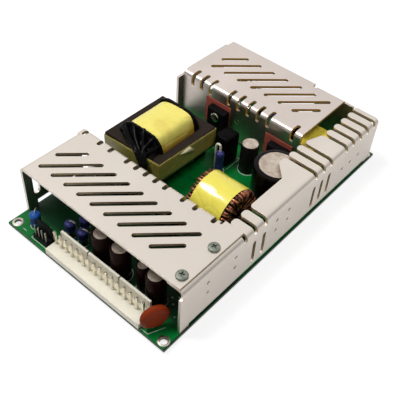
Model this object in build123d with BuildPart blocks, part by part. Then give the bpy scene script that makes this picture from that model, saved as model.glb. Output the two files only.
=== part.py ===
from build123d import *
import math
import os

# Open frame power supply, in millimetres. The origin is the centre of the board's underside, +Z is up,
# +Y runs from the output header to the mains end, and +X is to the right when facing +Y.
# Places are measured from the board's edges, heights from its component side.

# Board
board_width = 107.95
board_length = 177.8
board_thickness = 1.6
mount_hole_diameter = 3.9
mount_hole_inset = 3.4

left, right = -board_width / 2, board_width / 2
front, back = -board_length / 2, board_length / 2
top = board_thickness

# Folded sheet, the same stock for both heat sinks and the side wall
sheet = 1.5
bend = 3.0
cover_height = 30.2
foot_height = 2.0
end_foot_height = 4.2
foot_length = 6.0
vent_width = 2.5
comb_width = 2.4
corner_gap = 2.4
bend_relief = 2.4
pilot_diameter = 2.0
cover_top = top + cover_height
flange_top = cover_top - sheet

# Side wall, seen from above
wall_face = right - 0.55
wall_start = front + 10.7
wall_end = back - 5.4
flange_start = front + 12.4
flange_width = 11.4
wide_flange_width = 19.5
rear_flange_width = 15.2
finger_round = 2.0
finger_share = 0.45
comb_pitch = 7.05
front_comb_pitch = 7.6
front_comb = [front + 54.2 + i * front_comb_pitch for i in range(3)]
middle_comb = [back - 66.4 + i * comb_pitch for i in range(3)]
last_finger = 4.3
rear_comb = [wall_end - last_finger - i * comb_pitch for i in reversed(range(5))]
wall_comb_drop = 4.3
wall_vent_low = 4.6
wall_vent_high = 19.8
wall_vent_width = 2.5
pilot_high = 20.6
pilot_mid = 13.4
front_pilots = [front + y for y in (28.4, 47.8, 79.2, 88.9)]
rear_pilots = [back - y for y in (21.9, 30.2, 38.4)]

# Front heat sink
front_sink_front = front + 12.1
front_sink_face = front + 54.4
front_plate_end = wall_face - 2.1
front_wall_start = left + 0.6
front_wall_end = wall_face - flange_width - 2.5
front_vent_pitch = 9.12
front_vent_count = 8
front_vent_length = 31.4
front_vent_centre = (left + 17.15, front_sink_front + 17.75)
short_vent_length = 16.6
front_short_vents = [(left + 11.4, front_sink_front + 23.4), (left + 85.7, front_sink_front + 13.2)]
front_comb_offsets = (3.6, 14.7, 22.5, 34.15, 40.65, 47.15, 53.65, 60.15, 71.6, 79.3, 90.7)
front_comb_reach = 5.4
comb_drop = 6.7
end_slot_width = 3.8
end_slot_low = 8.6
end_slot_high = 23.0
end_slot_place = front_sink_front + 6.6
plate_screw_x = wall_face - 6.3
plate_screw_y = [front_sink_front + 5.7, front_sink_front + 26.6]

# Rear heat sink
rear_sink_face = back - 50.0
rear_sink_back = back - 5.4
rear_end_front = rear_sink_face - 3.6
rear_plate_end = left + 85.4
rear_wall_start = left + 2.0
rear_vent_pitch = 9.76
rear_vent_count = 6
rear_vent_length = 30.2
rear_vent_centre = (left + 20.95, rear_sink_face + 25.35)
rear_short_vents = [(left + 16.0, rear_sink_face + 30.25), (left + 74.65, rear_sink_face + 20.15)]
rear_comb_offsets = (9.4, 16.1, 22.8, 36.3, 43.1, 49.9, 56.7, 63.6, 79.8)
rear_comb_reach = 7.0
back_wall_start = left + 67.0
back_wall_end = wall_face - bend - 0.9
back_wall_drop = 0.5
back_wall_step_gap = 1.0

# Screws
screw_diameter = 3.0
screw_clearance = 0.2
screw_head_diameter = 6.1
screw_head_height = 1.7
plate_screw_length = 6.0

# Headers
header_pitch = 3.96
header_pin = 1.14
header_base_height = 3.4
header_base_depth = 8.7
header_lock_height = 10.2
header_lock_thickness = 1.3
header_lock_split = 0.35
header_end = 2.65
header_lock_end = 1.3
header_pin_height = 11.8
header_pin_inset = 5.9
output_contacts = 16
output_first_contact = left + 30.25
output_first_end = 1.05
output_first_lock_end = -0.85
output_header_front = front
input_contacts = 3
input_first_contact = left + 16.65
input_header_back = back - 0.5
control_pitch = 2.54
control_pin = 0.64
control_contacts = 4
control_first_contact = left + 18.5
control_ends = (1.5, 1.2)
control_header_front = front + 2.3
control_base_height = 2.8
control_base_depth = 3.5
control_lock_thickness = 1.1
control_lock_height = 10.6
control_pin_height = 9.5
control_pin_inset = 0.95
pin_clearance = 0.06

# Transformer
core_width = 40.0
core_length = 44.0
core_height = 13.3
core_low = 10.0
core_yoke = 7.4
core_leg = 5.2
core_post = 13.0
core_chamfer = 0.6
transformer_x = left + 23.3
transformer_y = front + 86.35
core_middle = top + core_low + core_height / 2
bobbin_wall = 1.0
bobbin_flange = 1.2
bobbin_gap = 0.2
bobbin_side_gap = 0.3
winding_width = 26.0
winding_height = 30.6
winding_round = 8.5
tape_thickness = 0.3
core_tape_margin = 0.6
bobbin_base_height = 4.4
bobbin_base_lift = 0.6
bobbin_pins_each_end = 5
bobbin_pin_pitch = 5.0
bobbin_pin_diameter = 1.0
lead_sleeve = 2.6
lead_count = 4
lead_pitch = 3.6
lead_drop_gap = 0.7
lead_row_shift = 4.7

# Ring chokes, each with its axis along X
choke_x = left + 77.0
choke_y = front + 73.4
choke_outer = 27.2
choke_width = 25.0
choke_inner = 8.0
choke_round = 4.5
choke_wire = 2.6
choke_band_width = 19.1
choke_band = 0.4
choke_lift = 0.3
choke_lead = 1.2
line_choke_x = left + 64.0
line_choke_y = back - 27.0
line_choke_outer = 21.0
line_choke_width = 13.0
line_choke_inner = 6.0
line_choke_round = 3.0
line_choke_wire = 2.2

# Cans: places, diameters and heights, and the shape of their edges as shares of the radius
can_edge = 0.14
can_groove = 0.06
can_groove_height = 0.36
can_sunk = 0.04
bulk_place = (right - 20.75, front + 105.5)
bulk_diameter = 25.0
bulk_clearance = 1.0
bulk_height = cover_height - 2 * sheet - bulk_clearance
supply_place = (left + 62.5, front + 115.7)
supply_diameter = 10.0
supply_height = 19.0
output_can_diameter = 10.0
output_can_height = 20.0
output_can_row = front + 16.4
output_can_places = [left + 52.3, left + 64.7, left + 87.4]
small_can_place = (left + 78.2, front + 17.3)
small_can_diameter = 6.3
small_can_height = 18.0

# Disc parts
disc_place = (left + 97.0, front + 5.8)
disc_diameter = 14.0
disc_thickness = 4.0
disc_height = 8.9
disc_turn = 57.0
disc_lead_spacing = 7.5
disc_lead = 0.7
thermistor_place = (left + 40.0, back - 18.0)
thermistor_diameter = 11.0
thermistor_thickness = 4.0
y_capacitor_places = [(left + 52.0, back - 13.0), (left + 52.0, back - 21.0)]
y_capacitor_diameter = 8.5
y_capacitor_thickness = 3.4
disc_stand = 1.4
disc_round = 0.42
disc_lead_share = 0.6

# Standing resistors
resistor_diameter = 4.7
resistor_height = 9.0
resistor_lift = 0.3
resistor_lead = 0.7
resistor_loop = 3.6
resistor_rise = 1.2
loop_round = 0.9
resistor_places = [(11.8, 8.4, 60.0), (28.8, 16.2, 20.0), (37.3, 16.8, 20.0), (31.7, 23.1, 20.0)]
tall_resistor_place = (51.7, 103.6, 180.0)
tall_resistor_height = 11.5
tall_resistor_lead = 1.5
tall_resistor_rise = 6.0
resistor_round = 0.3

# Power packages
package_width = 12.6
package_height = 17.0
package_thickness = 4.6
package_chamfer = 0.5
package_screw_drop = 4.4
package_lead_pitch = 4.0
package_lead = 0.9
package_hole = 3.4
pad_width = 18.0
pad_height = 18.0
pad_thickness = 0.3
pad_margin = 2.7
transistor_places = [left + 31.4, left + 74.4]
transistor_pad_tops = [22.2, 20.2]
transistor_pad_shift = 1.9
rectifier_places = [left + 30.0, left + 62.0]
rectifier_pad_top = 21.5
bridge_place = left + 43.5
bridge_width = 22.0
bridge_height = 17.5
bridge_thickness = 3.6
bridge_stand = 4.0
bridge_lead_pitch = 5.0
bridge_lead_count = 4
bridge_screw_height = 16.0

# Box capacitors: a dark one behind the transformer and a yellow one at the mains end
start_gap = 0.4
start_front = front + 106.8
start_size = (9.6, 11.4, 24.0)
start_round = 1.2
start_lead_spacing = 7.5
x_capacitor_start = (left + 80.0, back - 45.4)
x_capacitor_size = (12.2, 20.0, 21.5)
x_capacitor_round = 1.0
x_capacitor_lead_spacing = 15.0

# Fuse at the mains end and the control parts
fuse_place = (left + 24.0, back - 24.0)
fuse_length = 20.0
fuse_diameter = 5.2
fuse_cap_length = 5.0
fuse_cap_wall = 0.3
fuse_lift = 1.2
fuse_lead = 1.0
chip_pitch = 2.54
chip_row = 7.62
chip_body_width = 6.4
chip_body_height = 3.4
chip_lift = 0.6
chip_leg = 0.5
control_chip_x = left + 14.0
control_chip_legs = 8
optocoupler_places = [(left + 12.0, front + 36.0), (left + 19.0, front + 36.0)]
optocoupler_legs = 2

# Solder side
joint_radius = 1.0
joint_tip = 0.4
joint_height = 1.6

joints = []
os.makedirs("parts", exist_ok=True)


def write(piece, name):
    """Label a finished piece and write its file."""
    piece.label = name
    export_step(piece, f"parts/{name}.step")


def span(x0, x1, y0, y1):
    """Rectangle between two pairs of limits, in the open sketch."""
    with Locations(((x0 + x1) / 2, (y0 + y1) / 2)):
        Rectangle(x1 - x0, y1 - y0)


def block(x0, x1, y0, y1, z0, z1, mode=Mode.ADD):
    """Box between three pairs of limits, in the open part."""
    with Locations(((x0 + x1) / 2, (y0 + y1) / 2, (z0 + z1) / 2)):
        Box(x1 - x0, y1 - y0, z1 - z0, mode=mode)


def bent_section(plane, face, edge, inward):
    """Section of a wall that rises from the board and bends inward at its top edge."""
    with BuildSketch(plane) as section:
        with BuildLine():
            FilletPolyline((face, top), (face, edge), (face + inward * 2 * bend, edge), radius=bend)
            offset(amount=sheet, side=Side.RIGHT if inward > 0 else Side.LEFT)
        make_face()
    return section.sketch


def wall_along_x(x0, x1, face, inward, edge):
    """Bent wall with its outer face at one y, between two x limits."""
    extrude(bent_section(Plane.YZ.offset(x0), face, edge, inward), amount=x1 - x0)


def wall_along_y(y0, y1, face, inward, edge):
    """Bent wall with its outer face at one x, between two y limits."""
    extrude(bent_section(Plane.XZ.offset(-y1), face, edge, inward), amount=y1 - y0)


def vents(plane, centres, length):
    """Diagonal round-ended slots through a top plate."""
    with BuildSketch(plane) as pattern:
        with Locations(*centres):
            SlotOverall(length, vent_width, rotation=45)
    extrude(pattern.sketch, amount=-sheet, mode=Mode.SUBTRACT)


def comb(centres, face, outward, reach):
    """Slots that run round a bend, in along the plate and down the wall."""
    with BuildSketch(Plane.XY.offset(cover_top)) as plate_part:
        with Locations(*[(x, face - outward * (reach - bend) / 2) for x in centres]):
            SlotOverall(reach + bend, comb_width, rotation=90)
    extrude(plate_part.sketch, amount=-bend, mode=Mode.SUBTRACT)
    with BuildSketch(Plane.XZ.offset(-face)) as wall_part:
        with Locations(*[(x, cover_top - (comb_drop - bend) / 2) for x in centres]):
            SlotOverall(comb_drop + bend, comb_width, rotation=90)
    extrude(wall_part.sketch, amount=outward * bend, mode=Mode.SUBTRACT)


def open_between_feet(x0, x1, y0, y1, height=foot_height):
    """Clear the board under a wall, which leaves its feet."""
    block(x0, x1, y0, y1, top, top + height, mode=Mode.SUBTRACT)


# Circuit board
hole_x = board_width - 2 * mount_hole_inset
hole_y = board_length - 2 * mount_hole_inset
with BuildPart() as circuit_board:
    Box(board_width, board_length, board_thickness, align=(Align.CENTER, Align.CENTER, Align.MIN))
    with Locations((0, 0, top)):
        with GridLocations(hole_x, hole_y, 2, 2):
            Hole(mount_hole_diameter / 2)
write(circuit_board.part, "circuit_board")

# Front heat sink: plate, back wall with a comb round its bend, left end wall
flat_back = front_sink_face - bend
end_wall_back = flat_back - corner_gap
with BuildPart() as front_heat_sink:
    with BuildSketch(Plane.XY.offset(cover_top)):
        span(left + bend, front_plate_end, front_sink_front, flat_back)
        span(front_wall_start, left + bend, end_wall_back + corner_gap / 2, flat_back)
        span(front_wall_end + bend_relief / 2, front_plate_end, flat_back, front_sink_face)
    extrude(amount=-sheet)
    wall_along_x(front_wall_start, front_wall_end, front_sink_face, -1, cover_top)
    wall_along_y(front_sink_front, end_wall_back, left, 1, cover_top)
    comb([left + x for x in front_comb_offsets], front_sink_face, 1, front_comb_reach)
    first_x, vent_y = front_vent_centre
    long_vents = [(first_x + i * front_vent_pitch, vent_y) for i in range(front_vent_count)]
    vents(Plane.XY.offset(cover_top), long_vents, front_vent_length)
    vents(Plane.XY.offset(cover_top), front_short_vents, short_vent_length)
    with BuildSketch(Plane.YZ.offset(left)):
        with Locations((end_slot_place, top + (end_slot_low + end_slot_high) / 2)):
            SlotOverall(end_slot_high - end_slot_low, end_slot_width, rotation=90)
    extrude(amount=sheet, mode=Mode.SUBTRACT)
    open_between_feet(
        left, left + sheet, front_sink_front + foot_length, end_wall_back - foot_length, end_foot_height
    )
    open_between_feet(
        front_wall_start + foot_length,
        front_wall_end - foot_length,
        front_sink_face - sheet,
        front_sink_face,
    )
    with Locations(*[(plate_screw_x, y, cover_top) for y in plate_screw_y]):
        Hole((screw_diameter + screw_clearance) / 2, depth=sheet)
    with Locations(*[(x, front_sink_face, top + rectifier_pad_top - pad_margin - package_screw_drop)
                     for x in rectifier_places]):
        Cylinder(screw_diameter / 2, 4 * sheet, rotation=(90, 0, 0), mode=Mode.SUBTRACT)
write(front_heat_sink.part, "front_heat_sink")

# Rear heat sink: plate, front wall with a comb round its bend, left end wall, short back wall
flat_front = rear_sink_face + bend
rear_flat_back = rear_sink_back - bend
rear_end_back = rear_flat_back - corner_gap
low_edge = flange_top - sheet - back_wall_drop
back_wall_step = wall_face - rear_flange_width - back_wall_step_gap
with BuildPart() as rear_heat_sink:
    with BuildSketch(Plane.XY.offset(cover_top)):
        span(left + bend, rear_plate_end, flat_front, rear_flat_back)
        span(rear_wall_start, left + bend, flat_front, flat_front + corner_gap / 2)
        span(left + bend, back_wall_start - bend_relief, rear_flat_back, rear_sink_back)
    extrude(amount=-sheet)
    wall_along_x(rear_wall_start, rear_plate_end, rear_sink_face, 1, cover_top)
    wall_along_x(back_wall_start, rear_plate_end, rear_sink_back, -1, cover_top)
    block(rear_plate_end, back_wall_end, rear_sink_back - sheet, rear_sink_back, top, low_edge)
    block(rear_plate_end, back_wall_step, rear_sink_back - sheet, rear_sink_back, top, flange_top)
    wall_along_y(flat_front + corner_gap, rear_end_back, left, 1, cover_top)
    block(left, left + sheet, rear_end_front, flat_front + corner_gap, top, low_edge)
    comb([left + x for x in rear_comb_offsets], rear_sink_face, -1, rear_comb_reach)
    first_x, vent_y = rear_vent_centre
    long_vents = [(first_x + i * rear_vent_pitch, vent_y) for i in range(rear_vent_count)]
    vents(Plane.XY.offset(cover_top), long_vents, rear_vent_length)
    vents(Plane.XY.offset(cover_top), rear_short_vents, short_vent_length)
    open_between_feet(
        rear_wall_start + foot_length,
        rear_plate_end - foot_length,
        rear_sink_face,
        rear_sink_face + sheet,
    )
    open_between_feet(
        left, left + sheet, rear_end_front + foot_length, rear_end_back - foot_length, end_foot_height
    )
    open_between_feet(
        back_wall_start + foot_length,
        back_wall_end - foot_length,
        rear_sink_back - sheet,
        rear_sink_back,
    )
    screw_heights = [pad_top - pad_margin - package_screw_drop for pad_top in transistor_pad_tops]
    bores = [(x, rear_sink_face, top + z) for x, z in zip(transistor_places, screw_heights)]
    bores.append((bridge_place, rear_sink_face, top + bridge_screw_height))
    with Locations(*bores):
        Cylinder(screw_diameter / 2, 4 * sheet, rotation=(90, 0, 0), mode=Mode.SUBTRACT)
write(rear_heat_sink.part, "rear_heat_sink")

# Side wall: the wall, its bend, and a flange of fingers of three lengths
bend_line = wall_face - bend
narrow = wall_face - flange_width
wide = wall_face - wide_flange_width
rear_edge = wall_face - rear_flange_width
half = comb_width / 2
flange_breaks = [flange_start - half, *front_comb, *middle_comb, *rear_comb, wall_end + half]
step_start = front + 96.8
step_end = step_start + (wide_flange_width - flange_width)
with BuildPart() as side_wall:
    with BuildSketch(Plane.XY.offset(flange_top)):
        for i, (y0, y1) in enumerate(zip(flange_breaks, flange_breaks[1:])):
            y0, y1 = y0 + half, y1 - half
            if i < 3:
                tips = [(narrow, y0), (narrow, y1)]
            elif i == 3:
                tips = [(narrow, y0), (narrow, step_start), (wide, step_end), (wide, y1)]
            elif i < 6:
                tips = [(wide, y0), (wide, y1)]
            elif i == 6:
                tips = [(wide, y0), (rear_edge, y1)]
            else:
                tips = [(rear_edge, y0), (rear_edge, y1)]
            with BuildSketch(mode=Mode.PRIVATE) as finger:
                with BuildLine():
                    Polyline((bend_line, y0), *tips, (bend_line, y1), close=True)
                make_face()
                tip_corners = [v for v in finger.vertices() if v.X < bend_line - finger_round]
                fillet(tip_corners, radius=min(finger_round, (y1 - y0) * finger_share))
            add(finger.sketch)
    extrude(amount=-sheet)
    wall_along_y(wall_start, wall_end, wall_face, -1, flange_top)
    comb_low = flange_top - wall_comb_drop
    with BuildSketch(Plane.YZ.offset(wall_face - 2 * bend)):
        with Locations(*[(y, comb_low + bend) for y in flange_breaks[1:-1]]):
            SlotOverall(2 * bend, comb_width, rotation=90)
        with Locations((flange_start - half, comb_low + bend), (wall_start, comb_low + bend)):
            SlotOverall(2 * bend, comb_width, rotation=90)
        span(wall_start, flange_start - half, comb_low + half, comb_low + 2 * bend)
    extrude(amount=2 * bend, mode=Mode.SUBTRACT)
    with BuildSketch(Plane.YZ.offset(wall_face)):
        with Locations(*[(y, top + (wall_vent_low + wall_vent_high) / 2)
                         for y in front_comb[1:] + middle_comb]):
            SlotOverall(wall_vent_high - wall_vent_low, wall_vent_width, rotation=90)
        with Locations(*[(y, top + z) for y in front_pilots for z in (pilot_high, pilot_mid)]):
            Circle(pilot_diameter / 2)
        with Locations(*[(y, top + pilot_mid) for y in rear_pilots]):
            Circle(pilot_diameter / 2)
    extrude(amount=-sheet, mode=Mode.SUBTRACT)
    open_between_feet(
        wall_face - sheet, wall_face, wall_start + foot_length, wall_end - foot_length
    )
    with Locations(*[(plate_screw_x, y, flange_top) for y in plate_screw_y]):
        Hole((screw_diameter + screw_clearance) / 2, depth=sheet)
write(side_wall.part, "side_wall")


def screw(length):
    """Pan head screw: its seat at the origin, its shank along +Z."""
    head = screw_head_diameter / 2
    rim = -screw_head_height / 3
    with BuildPart() as made:
        with BuildSketch(Plane.XZ):
            with BuildLine():
                Polyline((0, length), (screw_diameter / 2, length), (screw_diameter / 2, 0))
                Polyline((screw_diameter / 2, 0), (head, 0), (head, rim))
                RadiusArc((head, rim), (head / 2, -screw_head_height), head)
                Polyline((head / 2, -screw_head_height), (0, -screw_head_height), (0, length))
            make_face()
        revolve(axis=Axis.Z)
    return made.part


def write_group(pieces, name):
    """Write separate solids as one node."""
    with BuildPart() as group:
        for piece in pieces:
            add(piece)
    write(group.part, name)


# Screws that hold the front plate to the side wall
plate_screw = screw(plate_screw_length)
with BuildPart() as plate_screws:
    with Locations(*[Plane(origin=(plate_screw_x, y, cover_top), z_dir=(0, 0, -1)) for y in plate_screw_y]):
        add(plate_screw)
write(plate_screws.part, "plate_screws")


def header_housing(contacts_x, ends, lock_ends, row_front, pin_row, lock_side, pin, base, lock, splits):
    """Friction lock header: a base with a contact in each hole, and a lock wall along one side."""
    base_depth, base_height = base
    lock_thickness, lock_height = lock
    x0, x1 = contacts_x[0] - ends[0], contacts_x[-1] + ends[1]
    lock_x0, lock_x1 = contacts_x[0] - lock_ends[0], contacts_x[-1] + lock_ends[1]
    row_back = row_front + base_depth
    lock_front = row_back if lock_side > 0 else row_front - lock_thickness
    with BuildPart() as housing:
        block(x0, x1, row_front, row_back, top, top + base_height)
        block(lock_x0, lock_x1, lock_front, lock_front + lock_thickness, top, top + lock_height)
        for share in range(1, splits):
            cut = x0 + (x1 - x0) * share / splits
            block(cut - header_lock_split / 2, cut + header_lock_split / 2, lock_front,
                  lock_front + lock_thickness, top + base_height, top + lock_height, mode=Mode.SUBTRACT)
        with Locations(*[(x, pin_row, top) for x in contacts_x]):
            side = pin + pin_clearance
            Box(side, side, base_height, align=(Align.CENTER, Align.CENTER, Align.MIN), mode=Mode.SUBTRACT)
    return housing.part


def header_pins(contacts_x, pin_row, pin, height):
    """Square contacts of a header."""
    with BuildPart() as pins:
        with Locations(*[(x, pin_row, top) for x in contacts_x]):
            Box(pin, pin, height, align=(Align.CENTER, Align.CENTER, Align.MIN))
    joints.extend((x, pin_row) for x in contacts_x)
    return pins.part


# Output header at the front edge, mains header at the back edge, control header beside the first
power_base = (header_base_depth, header_base_height)
power_lock = (header_lock_thickness, header_lock_height)
control_base = (control_base_depth, control_base_height)
control_lock = (control_lock_thickness, control_lock_height)
input_header_front = input_header_back - header_base_depth
output_pin_row = output_header_front + header_pin_inset
input_pin_row = input_header_back - header_pin_inset
control_pin_row = control_header_front + control_pin_inset
output_contacts_x = [output_first_contact + i * header_pitch for i in range(output_contacts)]
input_contacts_x = [input_first_contact + i * header_pitch for i in range(input_contacts)]
control_contacts_x = [control_first_contact + i * control_pitch for i in range(control_contacts)]
header_rows = [
    ("output_header", output_contacts_x, (output_first_end, header_end),
     (output_first_lock_end, header_lock_end), output_header_front, output_pin_row, 1, header_pin,
     power_base, power_lock, 3, header_pin_height),
    ("input_header", input_contacts_x, (header_end, header_end), (header_lock_end, header_lock_end),
     input_header_front, input_pin_row, -1, header_pin, power_base, power_lock, 1, header_pin_height),
    ("control_header", control_contacts_x, control_ends, control_ends, control_header_front,
     control_pin_row, 1, control_pin, control_base, control_lock, 1, control_pin_height),
]
for name, contacts_x, ends, lock_ends, row, pin_row, side, pin, base, lock, splits, height in header_rows:
    write(header_housing(contacts_x, ends, lock_ends, row, pin_row, side, pin, base, lock, splits), name)
    write(header_pins(contacts_x, pin_row, pin, height), name + "_pins")

# Transformer core: two E halves that meet at the middle, with a round post
core_front = transformer_y - core_length / 2
core_back = transformer_y + core_length / 2
core_base = top + core_low
leg_inner = core_width / 2 - core_leg


def core_half(face, inward):
    """Half of the core, from its outer face to the middle."""
    yoke_end = face + inward * core_yoke
    with BuildPart() as core:
        with BuildSketch(Plane.XY.offset(core_base)):
            span(transformer_x - core_width / 2, transformer_x + core_width / 2,
                 min(face, transformer_y), max(face, transformer_y))
            with Locations((transformer_x, (yoke_end + transformer_y) / 2)):
                Rectangle(2 * leg_inner, abs(transformer_y - yoke_end), mode=Mode.SUBTRACT)
        extrude(amount=core_height)
        with BuildSketch(Plane.XZ.offset(-transformer_y)):
            with Locations((transformer_x, core_middle)):
                Circle(core_post / 2)
        extrude(amount=inward * abs(transformer_y - yoke_end))
        rims = core.edges().filter_by(Axis.Y).sort_by(Axis.X)
        chamfer([rims[0], rims[1], rims[-1], rims[-2]], length=core_chamfer)
    return core.part


write(core_half(core_front, 1), "transformer_core_front")
write(core_half(core_back, -1), "transformer_core_rear")

# Bobbin: a tube on the post, a flange at each end and a pin rail under each yoke
tube_inner = core_post / 2 + bobbin_gap
tube_outer = tube_inner + bobbin_wall
window_front = core_front + core_yoke
window_back = core_back - core_yoke
flange_half = leg_inner - bobbin_side_gap
flange_high = core_middle + winding_height / 2
rail_low = top + bobbin_base_lift
rail_high = rail_low + bobbin_base_height
with BuildPart() as transformer_bobbin:
    with BuildSketch(Plane.XZ.offset(-window_back)):
        span(transformer_x - flange_half, transformer_x + flange_half, rail_low, flange_high)
    extrude(amount=window_back - window_front)
    fillet(transformer_bobbin.edges().filter_by(Axis.Y).group_by(Axis.Z)[-1], radius=winding_round)
    with BuildSketch(Plane.XZ.offset(bobbin_flange - window_back)):
        span(transformer_x - 2 * flange_half, transformer_x + 2 * flange_half, top, 2 * flange_high)
        with Locations((transformer_x, core_middle)):
            Circle(tube_outer, mode=Mode.SUBTRACT)
    extrude(amount=window_back - window_front - 2 * bobbin_flange, mode=Mode.SUBTRACT)
    with BuildSketch(Plane.XZ.offset(-window_back)):
        with Locations((transformer_x, core_middle)):
            Circle(tube_inner)
    extrude(amount=window_back - window_front, mode=Mode.SUBTRACT)
    for rail_front, rail_back in ((core_front, window_front), (window_back, core_back)):
        block(transformer_x - flange_half, transformer_x + flange_half, rail_front, rail_back,
              rail_low, rail_high)
write(transformer_bobbin.part, "transformer_bobbin")

# Winding with its outer tape, between the bobbin's flanges
with BuildPart() as transformer_winding:
    with BuildSketch(Plane.XZ.offset(bobbin_flange - window_back)):
        with Locations((transformer_x, core_middle)):
            RectangleRounded(winding_width, winding_height, winding_round)
            Circle(tube_outer, mode=Mode.SUBTRACT)
    extrude(amount=window_back - window_front - 2 * bobbin_flange)
write(transformer_winding.part, "transformer_winding")

# Tape round the core's sides
with BuildPart() as transformer_core_tape:
    with BuildSketch(Plane.XY.offset(core_base + core_tape_margin)):
        with Locations((transformer_x, transformer_y)):
            Rectangle(core_width + 2 * tape_thickness, core_length + 2 * tape_thickness)
            Rectangle(core_width, core_length, mode=Mode.SUBTRACT)
    extrude(amount=core_height - 2 * core_tape_margin)
write(transformer_core_tape.part, "transformer_core_tape")

# Pins under the bobbin's rails
pin_places = []
for rail_middle in (core_front + core_yoke / 2, core_back - core_yoke / 2):
    for i in range(bobbin_pins_each_end):
        offset_x = (i - (bobbin_pins_each_end - 1) / 2) * bobbin_pin_pitch
        pin_places.append((transformer_x + offset_x, rail_middle))
with BuildPart() as transformer_pins:
    with Locations(*[(x, y, top) for x, y in pin_places]):
        Cylinder(bobbin_pin_diameter / 2, bobbin_base_lift, align=(Align.CENTER, Align.CENTER, Align.MIN))
write(transformer_pins.part, "transformer_pins")
joints.extend(pin_places)

# Sleeved leads from the winding, over the front yoke and down to the board
lead_row = core_front - tape_thickness - lead_drop_gap - lead_sleeve / 2
lead_high = core_base + core_height + lead_sleeve / 2 + core_chamfer
lead_bend = core_yoke / 2
lead_middle = transformer_x + lead_row_shift
lead_places = [lead_middle + (i - (lead_count - 1) / 2) * lead_pitch for i in range(lead_count)]
with BuildPart() as transformer_leads:
    for lead_x in lead_places:
        with BuildLine(Plane.YZ.offset(lead_x)) as route:
            FilletPolyline(
                (window_front, lead_high), (lead_row, lead_high), (lead_row, top), radius=lead_bend
            )
        with BuildSketch(Plane(origin=(lead_x, window_front, lead_high), z_dir=(0, -1, 0))):
            Circle(lead_sleeve / 2)
        sweep(path=route.line)
write(transformer_leads.part, "transformer_leads")
joints.extend((lead_x, lead_row) for lead_x in lead_places)


def ring_core(place, height, outer, width, inner, wire):
    """Plain ring inside a ring winding."""
    with BuildPart() as core:
        with Locations((*place, height)):
            Cylinder(outer / 2 - wire, width - 2 * wire, rotation=(0, 90, 0))
            Cylinder(inner / 2 + wire, width, rotation=(0, 90, 0), mode=Mode.SUBTRACT)
    return core.part


def ring_winding(place, height, outer, width, inner, rounding, core):
    """Winding as the round-edged shell that its turns fill round the core."""
    with BuildPart() as winding:
        with Locations((*place, height)):
            Cylinder(outer / 2, width, rotation=(0, 90, 0))
            Cylinder(inner / 2, width, rotation=(0, 90, 0), mode=Mode.SUBTRACT)
        fillet(winding.edges().filter_by(GeomType.CIRCLE), radius=rounding)
        add(core, mode=Mode.SUBTRACT)
    return winding.part


def ring_leads(place, height, width, inner, lead):
    """Wire ends beside the winding's faces, down to the board."""
    x, y = place
    reach = width / 2 + lead / 2
    places = [(x + sx * reach, y + sy * inner) for sx in (-1, 1) for sy in (-1, 1)]
    with BuildPart() as leads:
        with Locations(*[(px, py, top) for px, py in places]):
            Cylinder(lead / 2, height - top, align=(Align.CENTER, Align.CENTER, Align.MIN))
    joints.extend(places)
    return leads.part


# Choke beside the transformer: core, copper winding, band of tape and board leads
choke_place = (choke_x, choke_y)
choke_height = top + choke_lift + choke_band + choke_outer / 2
choke_ring = ring_core(choke_place, choke_height, choke_outer, choke_width, choke_inner, choke_wire)
write(choke_ring, "choke_core")
write(
    ring_winding(choke_place, choke_height, choke_outer, choke_width, choke_inner, choke_round, choke_ring),
    "choke_winding",
)
with BuildPart(Plane(origin=(choke_x, choke_y, choke_height), z_dir=(1, 0, 0))) as choke_band_ring:
    Cylinder(choke_outer / 2 + choke_band, choke_band_width)
    Cylinder(choke_outer / 2, choke_band_width, mode=Mode.SUBTRACT)
write(choke_band_ring.part, "choke_band")
choke_tails = ring_leads(choke_place, choke_height, choke_width, choke_inner, choke_lead)

# Common mode choke at the mains end
line_place = (line_choke_x, line_choke_y)
line_height = top + choke_lift + line_choke_outer / 2
line_ring = ring_core(
    line_place, line_height, line_choke_outer, line_choke_width, line_choke_inner, line_choke_wire
)
write(line_ring, "line_choke_core")
write(
    ring_winding(line_place, line_height, line_choke_outer, line_choke_width, line_choke_inner,
                 line_choke_round, line_ring),
    "line_choke_winding",
)
line_tails = ring_leads(line_place, line_height, line_choke_width, line_choke_inner, choke_lead)
write_group([choke_tails, line_tails], "choke_leads")


def can(place, diameter, height):
    """Electrolytic can: crimped groove near the foot, rounded sleeve edge round a sunk top."""
    x, y = place
    radius = diameter / 2
    edge, groove, sunk = radius * can_edge, radius * can_groove, radius * can_sunk
    groove_height = radius * can_groove_height
    disc_radius = radius - 2 * edge
    with BuildPart() as made:
        with BuildSketch(Plane(origin=(x, y, top), x_dir=(1, 0, 0), z_dir=(0, -1, 0))):
            with BuildLine():
                Polyline(
                    (0, 0), (radius - groove, 0), (radius, groove), (radius, groove_height - groove),
                    (radius - groove, groove_height), (radius, groove_height + groove),
                    (radius, height - edge),
                )
                RadiusArc((radius, height - edge), (radius - edge, height), -edge)
                Polyline(
                    (radius - edge, height), (disc_radius + sunk, height), (disc_radius, height - sunk),
                    (0, height - sunk), (0, 0),
                )
            make_face()
        revolve(axis=Axis((x, y, 0), (0, 0, 1)))
    joints.extend([(x - radius / 2, y), (x + radius / 2, y)])
    return made.part


# Electrolytic capacitors
write(can(bulk_place, bulk_diameter, bulk_height), "bulk_capacitor")
write(can(supply_place, supply_diameter, supply_height), "supply_capacitor")
for i, place_x in enumerate(output_can_places, start=1):
    write(can((place_x, output_can_row), output_can_diameter, output_can_height), f"output_capacitor_{i}")
write(can(small_can_place, small_can_diameter, small_can_height), "output_capacitor_small")


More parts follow.
